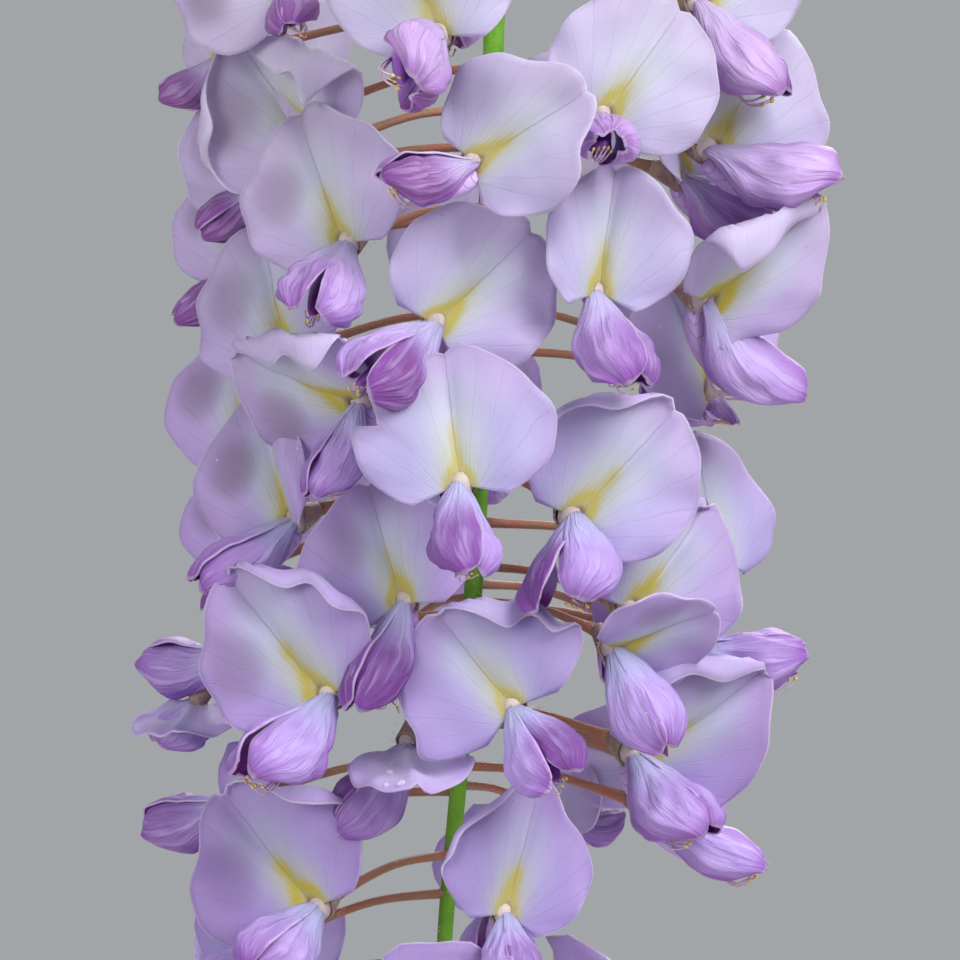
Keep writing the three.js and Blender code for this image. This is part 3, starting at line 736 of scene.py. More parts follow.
# Where a bloom's foot stands in the raceme, the way it faces and its size.
def bloomFrame(bloom):
    return (
        Matrix.Translation(bloom["foot"])
        @ Matrix.Rotation(rad(bloom["heading"]), 4, "Z")
        @ Matrix.Rotation(rad(bloom["nod"]), 4, "X")
        @ Matrix.Scale(bloom["size"], 4)
    )


# A frame turned to the banner, and one turned to where the wings and the keel hang.
def bannerFrame(bloom):
    return bloomFrame(bloom) @ Matrix.Rotation(rad(bloom["roll"]), 4, "Y")


def hungFrame(bloom):
    return (
        bloomFrame(bloom)
        @ Matrix.Rotation(rad(bloom["hang"]), 4, "Y")
        @ Matrix.Rotation(rad(bloom["droop"]), 4, "X")
        @ Matrix.Rotation(rad(bloom["twist"]), 4, "Y")
    )


# A stalk's root and bend, the foot of its calyx and the way that the calyx points.
def stalkPath(bloom, stem):
    foot = Vector(bloom["foot"])
    root = stemAt(stem, foot.z + bloom["rise"])
    facing = (bloomFrame(bloom).to_3x3() @ Vector((0, -1, 0))).normalized()
    axis = ((foot - root).normalized() + facing * 0.55 + Vector((0, 0, -0.35))).normalized()
    cupBase = foot - axis * calyx["length"] * bloom["size"]
    bend = (root + cupBase) / 2 + Vector((0, 0, bloom["rise"] * 0.2))
    return root, bend, cupBase, axis


# The stem's point at a height.
def stemAt(stem, z):
    low, high = 0.0, 1.0
    for _ in range(30):
        middle = (low + high) / 2
        if pathPoint(stem, middle).z > z:
            low = middle
        else:
            high = middle
    return pathPoint(stem, low)


def addBanner(bm, bloom):
    def spot(around, share):
        return bannerSpot(share, mix(-banner["sweep"], banner["sweep"], around), bloom)

    columns, rows = banner["grid"][bloom["detail"]]
    addSheet(bm, columns, rows, placed(bannerFrame(bloom), spot), bloom["tint"], banner["thickness"], back=1)


def addWings(bm, bloom):
    columns, rows = wing["grid"][bloom["detail"]]
    for hand in (-1, 1):

        def spot(around, along):
            return wingSpot(along, hand * mix(1, -1, around), hand, bloom)

        # a wing's tint is partly its own colour and partly painted light and shade: it is paler for a wing
        # turned up to the light
        tint = bloom["wingTints"][(hand + 1) // 2] if "wingTints" in bloom else bloom["tint"]
        addSheet(bm, columns, rows, placed(hungFrame(bloom), spot), tint, wing["thickness"], back=1)


def addKeel(bm, bloom):
    def spot(around, along):
        return keelSpot(around, along, bloom)

    columns, rows = keel["grid"][bloom["detail"]]
    addSheet(bm, columns, rows, placed(hungFrame(bloom), spot), bloom["tint"], weld=True)


def addStamens(bm, bloom, draw):
    place = hungFrame(bloom)
    for i in range(stamens["count"]):
        lean = (i - 2) * stamens["gap"] + (draw() - 0.5) * 0.4
        tipUp = 2.2 + draw() * 1.6
        ahead = (-stamens["reach"] - draw() * 1.8) * bloom["wingLength"] / usualWing
        run = [(lean * 0.2, ahead * 0.6, -2.2), (lean * 0.7, ahead * 0.93, -1.6), (lean, ahead, tipUp - 2)]
        points = [place @ point for point in pathRun(run, 4)]
        addTube(bm, points, [stamens["radius"]] * 5, 4, material=0)
        addBall(bm, points[-1], stamens["anther"], place.to_3x3(), material=1)


# A point on a ring round an axis; a turn of 0 is its top.
def ringPoint(centre, axis, turn, radius):
    side = axis.cross(Vector((0, 0, 1))).normalized()
    return centre + (side * math.sin(turn) + side.cross(axis) * math.cos(turn)) * radius


# Five teeth at the mouth of a cup.
def toothAt(turn, along, tall):
    return tall * max(0.0, math.cos(2.5 * turn)) ** 1.5 * along**3


def addCalyx(bm, bloom, stem):
    cupBase, axis = stalkPath(bloom, stem)[2:]
    size = bloom["size"]

    def spot(around, along):
        turn = around * math.tau
        lower = 0.5 - 0.5 * math.cos(turn)
        tooth = toothAt(turn, along, calyx["tooth"])
        ahead = (calyx["length"] - 1.5 + lower) * along + tooth * lower - calyx["sunk"]
        width = mix(calyx["foot"], calyx["mouth"] * size, math.sin(along * 1.45) ** 0.9)
        width += calyx["flare"] * along**4
        return ringPoint(cupBase + axis * ahead, axis, turn, width), (around, along), along

    addSheet(bm, *calyx["grid"], spot, bloom["tint"], calyx["thickness"], weld=True)
    disc = tuple(reach * size for reach in calyx["discSize"])
    addBall(bm, cupBase + axis * calyx["disc"] * size, disc, detail=2, tint=0.8, material=1)


def addStalk(bm, bloom, stem):
    root, bend, cupBase, axis = stalkPath(bloom, stem)
    steps = stalk["steps"]
    points = pathRun([root, bend, cupBase + axis * 0.3], steps)
    radii = []
    for i in range(steps + 1):
        flared = stalk["radius"] * (1 + stalk["rootFlare"] * (1 - i / steps) ** 4)
        radii.append(flared + stalk["tipFlare"] * (i / steps) ** 8)
    addTube(bm, points, radii, stalk["sides"], bloom["tint"])
    return points


# Blooms set one by one on the main raceme, as seen from the front. Across, front and down place a bloom's
# foot, in millimetres. Heading and nod turn the whole bloom, roll its banner, and hang, droop and twist its
# wings.
bloomColumns = ("across", "front", "down", "heading", "nod", "roll", "hang", "droop", "twist", "size")
setBlooms = [
    (-5.4, 26, 39.1, 0, 0, -15, 45, 38, 60, 1.04, {
        "wingTints": (0, 0.9), "openRight": 50, "wingLength": 15,
    }),
    (-25.7, 10, 30.6, -20, 0, -70, -24, 70, 0, 1, {
        "curlRight": 0.3, "wingLength": 9, "plump": 0.66, "tint": 1, "wingTints": (0.9, 0.9),
    }),
    (29.3, 8, 33.4, 25, 0, 35, -24, 70, 45, 1.02, {
        "wingLength": 16, "plump": 0.95, "wingTints": (0.3, 1), "tint": 0.2,
    }),
    (16, 22, 49.2, 4, 0, 36, 14, 32, 10, 0.97, {
        "gape": -6, "plump": 0.8, "wingLength": 11.5, "tint": 0.3, "openLeft": -30, "openRight": -30,
        "lobe": 0.12,
    }),
    (30.7, 6, 52.6, 14, 0, 33, -59, 72, 70, 1.06, {
        "curlLeft": 0.6, "wingLength": 16, "upturn": 5, "wingTints": (0.35, 0.5), "tint": 0.2,
    }),
    (27.2, 2, 56, 60, 0, 10, -44, 66, 20, 0.96, {"tint": 0.7, "wingLength": 14, "wingTints": (0.8, 0.8)}),
    (-1, 28, 55.5, -25, 0, 58, 62, 58, -62, 0.93, {
        "gape": -5, "wingTints": (0.1, 1), "plump": 0.9, "wingLength": 13, "reflex": 0.5, "tint": 0.3,
    }),
    (-20.8, 9, 52.6, -16, 0, -42, -5, 88, 0, 1.12, {
        "curlLeft": 0.6, "curlRight": 1.6, "foldRight": 30, "wingLength": 6, "plump": 0.4,
    }),
    (-29.4, 3, 57.4, -42, 0, -28, 50, 84, 0, 1, {
        "curlLeft": 0.2, "wingLength": 9.5, "plump": 0.6, "tint": 1, "wingTints": (1.15, 1.15),
    }),
    (-35, -4, 39.7, -62, 0, -20, 42, 72, -30, 0.94, {
        "plump": 0.66, "wingLength": 10, "tint": 1, "spread": 0.8, "wingTints": (0.95, 0.95),
    }),
    (-17.6, 20, 65.6, -14, 0, -24, 15, 56, 8, 0.97, {
        "curlRight": 0.25, "splayLeft": 1.2, "openLeft": 34, "tint": 0.9, "wingLength": 14.4,
        "wingTints": (0.7, 0.35), "apex": 0.15, "gape": 9,
    }),
    (15.2, 24, 72.3, -4, 0, 7, -16, 66, 40, 0.95, {
        "foldLeft": 50, "tint": 0.2, "wingLength": 16, "apex": 0, "wingTints": (0.75, 0.8),
    }),
    (29.8, 8, 72.9, 26, 40, 48, -28, 80, 74, 1.04, {
        "curlLeft": 1.1, "wingLength": 16.8, "upturn": 9.5, "foldRight": 50, "wingTints": (0.5, 0.6),
    }),
    (-6, 24, 76.2, 2, 0, 46, 50, 62, -22, 0.98, {
        "splayRight": 1.6, "wingLength": 17, "wingTints": (0.1, 1.1), "tint": 0.45, "gape": 8,
    }),
    (-32, 0, 67.2, -42, 0, -15, 40, 80, -20, 0.94, {
        "wingLength": 12, "plump": 0.6, "tint": 1, "wingTints": (1.25, 1.25),
    }),
    (-25, 12, 79.6, -30, 0, -24, 5, 80, 0, 1.04, {"wingLength": 6, "plump": 0.5, "tint": 0.8}),
    (32, -8, 84.6, 34, 0, -20, 0, 90, 20, 1, {"wingLength": 4, "plump": 0.3}),
    (-15.8, 22, 86.3, -14, 34, -74, 18, 46, -52, 0.94, {
        "curlRight": 1, "wingLength": 14.5, "plump": 0.8, "tint": 0.9, "wingTints": (0.7, 0.5),
    }),
    (-31.2, 2, 92, -36, 0, -16, 20, 84, 0, 0.98, {"wingLength": 9, "plump": 0.5, "tint": 1}),
    (-2.5, 33, 97, 0, 0, -7, -3, 62, 22, 1, {
        "notches": [(-68, 9, 0.24)], "foldLeft": 4, "foldRight": 4, "plump": 0.86, "wingTints": (0.9, 0),
        "curlLeft": 0, "curlRight": 0, "apex": 0, "wide": 1.1, "wingLength": 14.4,
    }),
    (12, 24, 101.2, 0, 0, 43, -3, 62, -20, 1.05, {
        "curlLeft": 0.6, "splayLeft": 3.6, "wingTints": (0.95, 0.1), "over": 1, "plump": 1.05,
        "wide": 0.93, "tint": 0.3,
    }),
    (-24.7, 14, 101.6, -24, 0, -22, 42, 66, -30, 0.98, {
        "curlRight": 0.2, "wingLength": 15.5, "plump": 0.86, "tint": 1, "foldRight": 58,
        "wingTints": (0.7, 0.7),
    }),
    (32.3, -6, 107.6, 50, 0, -2, 34, 76, 30, 0.96, {"wingLength": 6, "plump": 0.4}),
    (-30.4, 0, 107.4, -44, 0, -14, 30, 78, -10, 0.95, {
        "wingLength": 9, "plump": 0.56, "tint": 1, "wingTints": (1, 1),
    }),
    (-9.9, 23, 112.2, -8, 0, -19, 14, 70, -34, 0.92, {
        "curlRight": 0.5, "wingLength": 17.6, "plump": 0.9, "tint": 0.7, "apex": 0, "wide": 1.09,
        "wingTints": (1.3, 1.1),
    }),
    (19.8, 14, 113.4, 14, 0, 40, -38, 90, 0, 0.98, {"curlLeft": 1.2, "wingLength": 6, "plump": 0.4}),
    (17.4, 22, 118.2, 10, 48, 62, -40, 40, 30, 0.95, {
        "spread": 0.8, "wingLength": 15.5, "plump": 0.9, "keelReach": 0.9, "openRight": 30, "tint": 0.7,
        "arch": 0.3, "wingTints": (0.5, 0.5),
    }),
    (27, 4, 118.6, 24, 0, -50, -72, 80, 70, 1, {
        "spread": 0.7, "wingLength": 16, "keelReach": 0.86, "upturn": 5, "tint": 0.9, "gape": 4,
        "wingTints": (0.7, 0.7),
    }),
    (-32.5, 4, 119.8, -58, 0, 44, 76, 66, -60, 0.96, {
        "plump": 0.88, "tint": 1, "spread": 0.8, "wingLength": 15, "wingTints": (0.6, 0.7),
    }),
    (-19.8, 26, 124.2, -12, 0, -42, 32, 55, -36, 1.05, {
        "curlRight": 0.7, "wingLength": 16.5, "openRight": 26, "gape": 13, "tint": 0.8, "reflex": 0.6,
        "wingTints": (0.5, 0.5), "wide": 0.9, "apex": 0.12, "spread": 1.04, "openLeft": 12,
    }),
    (4.4, 27, 125.6, 6, 0, -38, -30, 60, -10, 0.9, {
        "curlRight": 0.9, "splayRight": 2.2, "plump": 1, "over": -1, "wingTints": (0.45, 1),
        "lobe": 0.36, "apex": 0, "wingLength": 15.4, "wide": 1.1, "tint": 0.35,
    }),
    (-38, 0, 125.6, -12, 122, 0, -40, -44, 0, 0.72, {
        "wingLength": 10, "plump": 1.1, "tint": 0.2, "spread": 0.9,
    }),
    (20.5, 12, 132.4, 10, 25, 62, -34, 50, 62, 1.06, {
        "curlLeft": 0.8, "wingLength": 13.4, "tint": 0.7, "wingTints": (0.6, 0.5),
    }),
    (10.6, -14, 142.6, 130, 0, -10, 0, 12, 0, 0.85, {
        "spread": 0.8, "wingLength": 12.5, "plump": 0.8, "tint": 0.8,
    }),
    (-32.9, 4, 138.8, -62, 0, 40, 62, 64, -40, 0.84, {
        "plump": 1, "tint": 1, "spread": 0.6, "wingLength": 16, "wingTints": (0.8, 0.8),
    }),
    (-9.5, 20, 130.6, -8, 112, 14, -60, -40, 24, 0.8, {
        "arch": 0.2, "reflex": 0.3, "tint": 1, "spread": 0.86, "wingLength": 18, "plump": 1.1,
        "wingTints": (1.15, 0.7),
    }),
    (-21.3, 21, 151.8, -12, 0, -42, 38, 60, -10, 1, {
        "curlRight": 0.6, "tint": 0.8, "reflex": 0.6, "wingTints": (0.6, 0.6), "spread": 1.05,
    }),
    (3.2, 25, 152.3, 2, 0, 16, -4, 62, 0, 0.85, {
        "curlLeft": 0.5, "plump": 0.8, "tint": 0.35, "wingTints": (0.6, 0.8), "apex": 0.22, "wide": 0.95,
    }),
    (-27.6, 8, 157, -40, 0, -34, 30, 60, 0, 0.92, {}),
    (18, 6, 174, 40, 0, 20, -30, 60, 20, 0.8, {"spread": 0.7}),
    (23.2, 6, 140, 20, 0, 0, -52, 74, 60, 0.95, {
        "spread": 0.3, "wingLength": 17, "plump": 0.78, "tint": 0.6, "wingTints": (0.35, 0.6),
    }),
    (22.8, -6, 134.3, 160, 0, 74, 30, 70, 0, 0.9, {"spread": 0.7, "wingLength": 6, "plump": 0.4}),
]
# What a bloom has where its row doesn't say otherwise.
bloomHabit = {
    "cup": 0.14, "reflex": 1.0, "arch": 0.0,
    "foldLeft": 13, "foldRight": 13, "curlLeft": 0.1, "curlRight": 0.1,
    "apex": 0.08, "lobe": 0.05, "spread": 1.0, "wide": 1.0, "notches": [],
    "wingLength": usualWing, "plump": 1.0, "upturn": 3.4, "openLeft": 0, "openRight": 0,
    "keelReach": 0.8, "rise": 6,
}

racemes = {
    "main": {
        "seed": 7, "node": "raceme_main", "top": 626, "stemRadius": (1.7, 0.8),
        "stem": [
            (153.6, -30, 626), (153, -30, 600), (151.9, -30, 577), (149.9, -30, 516),
            (147.5, -30, 480), (145.3, -30, 455), (144, -30, 425), (144.6, -30, 392),
        ],
        # where the blooms set one by one are placed from, and the stretch and arc of the stem that they fill
        "set": {"x": 150, "y": -30, "z": 612, "from": 26, "to": 164, "arc": 108},
        "open": {"from": 10, "to": 190, "step": 4.6, "reach": 29},
        # blooms of the spiral that are moved sideways and up and have another spread
        "nudges": {
            4: (-5, 6, 1), 7: (11, 0, 1), 9: (-6, 3, 1), 11: (2.5, 0, 1), 12: (-2, 12, 0.8),
            13: (2.4, 4.5, 1), 14: (5, 0, 1), 15: (-1.5, -2, 0.75), 16: (-5, 0, 1),
        },
        "buds": {"from": 188, "to": 219, "step": 2.8, "reach": 17},
        "detail": "fine",
    },
    "left": {
        "seed": 23, "node": "raceme_left", "top": 588, "stemRadius": (1.5, 0.8),
        "stem": [(-138, 2, 588), (-139, 2, 560), (-138, 3, 500), (-137, 2, 440)],
        "open": {"from": 16, "to": 94, "step": 6.8, "reach": 25},
        "buds": {"from": 98, "to": 146, "step": 5.6, "reach": 13},
        "detail": "plain",
    },
    "back": {
        "seed": 41, "node": "raceme_back", "top": 602, "stemRadius": (1.5, 0.8),
        "stem": [(12, 132, 602), (12, 133, 570), (11, 134, 510), (12, 133, 448)],
        "open": {"from": 16, "to": 94, "step": 6.8, "reach": 25},
        "buds": {"from": 98, "to": 150, "step": 5.6, "reach": 13},
        "detail": "plain",
    },
}
golden = 137.5  # degrees from one bloom to the next round a stem
spiralStart = 40  # degrees
collar = 14  # how far below a raceme's top its first bloom may stand
# How much the blooms of a spiral differ in the way they turn, hang and curl.
stray = {"reach": 0.16, "heading": 30, "roll": 80, "hang": 50, "twist": -60, "curl": 0.6}
bud = {
    "length": 10.5, "radius": 2.5, "back": 0.6, "upturn": 1.2, "crease": 0.25, "creaseWidth": 0.35,
    "grid": (12, 9), "cupGrid": (10, 4), "cupFoot": 0.7, "cupMouth": 1.75, "cupLength": 3.2,
    "tooth": 0.8, "thickness": 0.25, "stalk": 0.8,
}


# What differs a little from bloom to bloom beyond its place.
def addHabit(bloom, draw):
    drawn = {
        "tint": draw(), "phase": draw() * math.tau, "ruffle": 0.4 + 0.7 * draw(), "gape": -2 + 5 * draw(),
        "splayLeft": 0.8 * draw() ** 3, "splayRight": 0.8 * draw() ** 3,
    }
    drawn["over"] = 1 if drawn["phase"] > math.pi else -1
    return {**bloomHabit, **drawn, **bloom}


def handSetBlooms(raceme):
    draw = seeded(101)
    stand = raceme["set"]
    blooms = []
    for row in setBlooms:
        bloom = {**dict(zip(bloomColumns, row)), **row[-1], "detail": "fine"}
        across, front, down = row[:3]
        bloom["foot"] = (stand["x"] + across, stand["y"] - front, stand["z"] - down)
        blooms.append(addHabit(bloom, draw))
    return blooms


def spiralBlooms(raceme):
    draw, habit = seeded(raceme["seed"]), seeded(raceme["seed"] + 200)
    run, blooms = raceme["open"], []
    for i in range(int((run["to"] - run["from"]) / run["step"]) + 1):
        down = run["from"] + i * run["step"]
        turn = (i * golden + spiralStart) % 360 - 180
        shake = [draw() for _ in range(5)]
        shut = clamp((down - run["to"] + 30) / 60)
        z = raceme["top"] - collar - down
        stem = stemAt(raceme["stem"], z)
        out = run["reach"] * (1 - 0.35 * shut) * (0.92 + stray["reach"] * shake[0])
        stand = raceme.get("set")
        if stand and stand["from"] < down < stand["to"] and abs(turn) < stand["arc"]:
            continue
        sideways, higher, spread = raceme.get("nudges", {}).get(len(blooms), (0, 0, 1))
        x, y = stem.x + out * math.sin(rad(turn)) + sideways, stem.y - out * math.cos(rad(turn))
        bloom = {
            "foot": (x, y, z + higher),
            "heading": turn + (shake[1] - 0.5) * stray["heading"],
            "nod": 4,
            "roll": (shake[2] - 0.5) * stray["roll"],
            "hang": (shake[3] - 0.5) * stray["hang"],
            "droop": 56,
            "twist": (shake[3] - 0.5) * stray["twist"],
            "cup": 0.12 + 0.4 * shut,
            "reflex": 1 - shut,
            "size": (0.98 if stand else 0.86) * (1 - 0.3 * shut),
            "curlLeft": shake[4] * stray["curl"],
            "curlRight": (1 - shake[4]) * stray["curl"],
            "spread": spread,
            "detail": "plain",
        }
        blooms.append(addHabit(bloom, habit))
    return blooms


def spiralBuds(raceme):
    draw = seeded(raceme["seed"] + 1)
    run, buds = raceme["buds"], []
    for i in range(int((run["to"] - run["from"]) / run["step"]) + 1):
        share = i * run["step"] / (run["to"] - run["from"])
        turn = i * golden
        z = raceme["top"] - collar - run["from"] - i * run["step"]
        stem = stemAt(raceme["stem"], z)
        out = run["reach"] * (1 - 0.72 * share)
        buds.append({
            "foot": (stem.x + out * math.sin(rad(turn)), stem.y - out * math.cos(rad(turn)), z),
            "heading": turn, "nod": 38 + 30 * share + draw() * 10, "size": 1 - 0.55 * share,
            "rise": 4, "tint": draw(),
        })
    return buds


# A bud is a plump folded drop in a small calyx.
def addBud(bm, stalks, cups, one, stem):
    foot = Vector(one["foot"])
    root = stemAt(stem, foot.z + one["rise"])
    length, size = bud["length"], one["size"]
    facing = (bloomFrame(one).to_3x3() @ Vector((0, -1, 0))).normalized()

    def spot(around, along):
        turn = around * math.tau
        width = bud["radius"] * math.sin(math.pi * clamp(along**0.7)) ** 0.75 * (1 - 0.12 * along)
        fromTop = math.atan2(math.sin(turn), math.cos(turn))
        crease = 1 - bud["crease"] * bell(fromTop, 0, bud["creaseWidth"]) * along
        up = width * crease * math.cos(turn) + bud["upturn"] * along**2
        ahead = bud["back"] - (length + bud["back"]) * along
        point = Vector((width * 0.8 * math.sin(turn), ahead, up))
        return point, flatUv(math.sin(turn) * 4, length * along), along

    def cupSpot(around, along):
        turn = around * math.tau
        width = mix(bud["cupFoot"], bud["cupMouth"], math.sin(along * 1.5)) * size
        ahead = (-0.8 + bud["cupLength"] * along + toothAt(turn, along, bud["tooth"])) * size
        return ringPoint(foot + facing * ahead, facing, turn, width), (around, along), along

    addSheet(bm, *bud["grid"], placed(bloomFrame(one), spot), one["tint"], weld=True)
    addSheet(cups, *bud["cupGrid"], cupSpot, one["tint"], bud["thickness"], weld=True)
    points = pathRun([root, (root + foot) / 2 + Vector((0, 0, 0.6)), foot - facing * 0.4], 6)
    addTube(stalks, points, [stalk["radius"] * bud["stalk"]] * 7, 6, one["tint"])


def addCone(bm, sides, foot, tip, depth, matrix):
    ends = {"radius1": foot, "radius2": tip, "depth": depth}
    bmesh.ops.create_cone(bm, cap_ends=True, segments=sides, matrix=matrix, **ends)


# Short hairs that stand out from a run of points.
def addHairs(bm, points, radius, count, length, draw):
    last = len(points) - 1
    for _ in range(count):
        place = draw() * last
        i = min(int(place), last - 1)
        here = points[i].lerp(points[i + 1], place - i)
        ahead = (points[i + 1] - points[i]).normalized()
        turn = draw() * math.tau
        side = ahead.orthogonal().normalized()
        out = side * math.cos(turn) + ahead.cross(side) * math.sin(turn)
        lean = (out + ahead * (draw() - 0.5) * 0.8).normalized()
        tall = length * (0.6 + 0.7 * draw())
        middle = here + out * radius + lean * tall * 0.45
        matrix = Matrix.Translation(middle) @ lean.to_track_quat("Z", "Y").to_matrix().to_4x4()
        addCone(bm, 3, hairs["foot"], hairs["tip"], tall, matrix)


# Small water drops on banners; placed ones give the bloom's row, turn, share, radius and side.
dew = {
    "placed": [
        (35, -38, 0.57, 0.55, -1), (35, -14, 0.9, 0.62, -1), (35, -30, 0.9, 0.45, -1),
        (35, 110, 0.86, 0.35, -1), (35, 122, 0.45, 0.25, -1), (35, -62, 0.36, 0.2, -1),
    ],
    "strewn": 46, "radius": (0.1, 0.3), "share": (0.55, 0.97), "turn": 85, "sunk": 0.2, "flatness": 0.62,
}


def addDrop(bm, bloom, turn, share, radius, side):
    place = bannerFrame(bloom)
    spots = ((share, turn), (share, turn + 2), (share + 0.02, turn))
    here, aside, further = (place @ bannerSpot(*spot, bloom)[0] for spot in spots)
    outward = (aside - here).cross(further - here).normalized() * side
    centre = here + outward * (radius * dew["sunk"] + (banner["thickness"] if side < 0 else 0))
    turned = outward.to_track_quat("Z", "Y").to_matrix()
    addBall(bm, centre, (radius, radius, radius * dew["flatness"]), turned, detail=3)


def addDew(bm, blooms, draw):
    for row, turn, share, radius, side in dew["placed"]:
        addDrop(bm, blooms[row], turn, share, radius, side)
    for _ in range(dew["strewn"]):
        bloom = blooms[int(draw() * len(setBlooms))]
        turn = mix(-dew["turn"], dew["turn"], draw())
        share = mix(*dew["share"], draw())
        addDrop(bm, bloom, turn, share, mix(*dew["radius"], draw() ** 2), 1)


stemSteps, stemSides = 90, 12


def makeRaceme(key, raceme):
    main = raceme["detail"] == "fine"
    blooms = (handSetBlooms(raceme) if main else []) + spiralBlooms(raceme)
    shapes = {name: newShape() for name in racemeLooks}
    draw = seeded(raceme["seed"] + 300)
    stem = raceme["stem"]
    stemRun = pathRun(stem, stemSteps)
    stemRadii = [mix(*raceme["stemRadius"], i / stemSteps) for i in range(stemSteps + 1)]
    addTube(shapes["stem"], stemRun, stemRadii, stemSides)
    for bloom in blooms:
        addBanner(shapes["banners"], bloom)
        addWings(shapes["wings"], bloom)
        addKeel(shapes["keels"], bloom)
        addCalyx(shapes["calyces"], bloom, stem)
        run = addStalk(shapes["stalks"], bloom, stem)
        if main:
            addStamens(shapes["stamens"], bloom, draw)
            addHairs(shapes["hairs"], run, stalk["radius"], *hairs["stalk"], draw)
            cupBase, axis = stalkPath(bloom, stem)[2:]
            cup = [cupBase, cupBase + axis * hairs["calyxReach"]]
            addHairs(shapes["hairs"], cup, hairs["calyxRadius"], *hairs["calyx"], draw)
    for one in spiralBuds(raceme):
        addBud(shapes["buds"], shapes["stalks"], shapes["calyces"], one, stem)
    if main:
        addHairs(shapes["hairs"], stemRun, hairs["stemRadius"], *hairs["stem"], draw)
        addDew(shapes["dew"], blooms, draw)
    for name, shape in shapes.items():
        if shape.verts:
            finishPiece(f"{name}_{key}", shape, racemeLooks[name], "bloom", raceme["node"])
        else:
            shape.free()
    print(f"raceme {key}: {len(blooms)} blooms")


for key, raceme in racemes.items():
    makeRaceme(key, raceme)

vine = {
    "limbs": {
        "trunk": {
            "path": [
                (0, 0, 124), (0, 0, 172), (-4, 3, 215), (12, -7, 280), (-12, 6, 350),
                (-16, 12, 425), (4, -4, 500), (-4, 0, 572),
            ],
            "radii": (16, 12.5, 9), "sides": 48, "steps": 150, "furrow": 0.09,
        },
        "twiner": {
            "path": [
                (4, -2, 150), (16, 4, 196), (4, 17, 254), (-14, -8, 322),
                (4, -4, 392), (-16, 26, 456), (12, 8, 528), (0, 2, 582),
            ],
            "radii": (8.5, 7, 5), "sides": 32, "steps": 150, "furrow": 0.08,
        },
        "rightArm": {
            "path": [
                (-4, 0, 562), (26, -14, 614), (84, -26, 646), (132, -30, 651),
                (150, -30, 645), (153.6, -30, 636), (153.6, -30, 625),
            ],
            "radii": (7.5, 5, 2.3), "sides": 24, "steps": 110, "furrow": 0.05,
        },
        "leftArm": {
            "path": [
                (-2, 0, 556), (-36, 8, 590), (-92, 10, 614), (-126, 4, 609), (-138, 2, 599), (-138, 2, 587),
            ],
            "radii": (7, 4.5, 2.1), "sides": 24, "steps": 90, "furrow": 0.05,
        },
        "backArm": {
            "path": [
                (0, 2, 560), (-4, 40, 610), (2, 92, 634), (9, 122, 624), (12, 132, 613), (12, 132, 601),
            ],
            "radii": (7, 4.5, 2.1), "sides": 24, "steps": 90, "furrow": 0.05,
        },
    },
    "knotStep": 34, "knotHeight": 0.22, "armFlare": 0.35,
    # how many furrows go round, how long they are and how far they twist for each millimetre
    "broad": 1.7, "broadLength": 26, "fine": 4.6, "fineLength": 30, "twist": 0.012,
    "light": "9a8a78", "middle": "85705a", "furrow": "55442f", "pore": "c4b298",
}


def limbRadius(radii, along):
    start, middle, tip = radii
    return mix(start, middle, along * 2) if along < 0.5 else mix(middle, tip, along * 2 - 1)


def addLimb(bm, name, limb):
    points = pathRun(limb["path"], limb["steps"])
    radii = []
    for i in range(len(points)):
        along = i / limb["steps"]
        radius = limbRadius(limb["radii"], along)
        if name in ("trunk", "twiner"):  # ends in a round tip
            radius *= math.sqrt(max(0.02, 1 - max(0.0, (along - 0.975) / 0.025) ** 2))
        else:
            radius *= 1 + vine["armFlare"] * math.exp(-along / 0.05)
        radii.append(radius)
    offset = len(name) * 7.3  # gives each limb its own furrows

    def swell(turn, length, radius):
        around = Vector((math.cos(turn), math.sin(turn), 0)) * vine["broad"]
        twisted = turn + length * vine["twist"]
        ridges = Vector((math.cos(twisted), math.sin(twisted), 0)) * vine["fine"]
        broad = noise.noise(around + Vector((offset, 0, length / vine["broadLength"])))
        fine = noise.noise(ridges + Vector((0, offset, length / vine["fineLength"])))
        knots = math.cos(math.tau * length / vine["knotStep"] + offset)
        knot = vine["knotHeight"] * max(0.0, knots) ** 8 * max(0.0, math.cos(turn - length / 11))
        return radius * (limb["furrow"] * (broad + fine) + knot * 0.5)

    addTube(bm, points, radii, limb["sides"], material=0, swell=swell)


def barkMaterial():
    material, tree, shader = newMaterial("bark", 0.85, 0.25)
    around, length = flatShares(tree)
    turn = times(tree, around, math.tau)
    ring = (sums(tree, "COSINE", turn), sums(tree, "SINE", turn))
    streaks = cloudsAt(tree, spotAt(tree, *ring, times(tree, length, 0.7)), 7.0, 6.0, Roughness=0.65)
    pores = between(tree, cellsAt(tree, spotAt(tree, *ring, times(tree, length, 9.0)), 4.2), 0.16, 0.06)
    body = blend(tree, cloudMask(tree, 0.03, 0.35, 0.65), colour(vine["middle"]), colour(vine["light"]))
    body = blend(tree, between(tree, streaks, 0.42, 0.62), colour(vine["furrow"]), body)
    body = lay(tree, body, colour(vine["pore"]), pores, 0.6)
    grain = times(tree, grainHeight(tree, 0.0009), 0.3)
    height = sums(tree, "ADD", scaled(tree, streaks, 2.2, pores), grain)
    paint(tree, shader, body, height, 0.0011, strength=0.9)
    return material


def makeVine():
    bm = newShape()
    for name, limb in vine["limbs"].items():
        addLimb(bm, name, limb)
    finishPiece("vineWood", bm, [barkMaterial()], "bark", "vine")
    print("vine made")


makeVine()

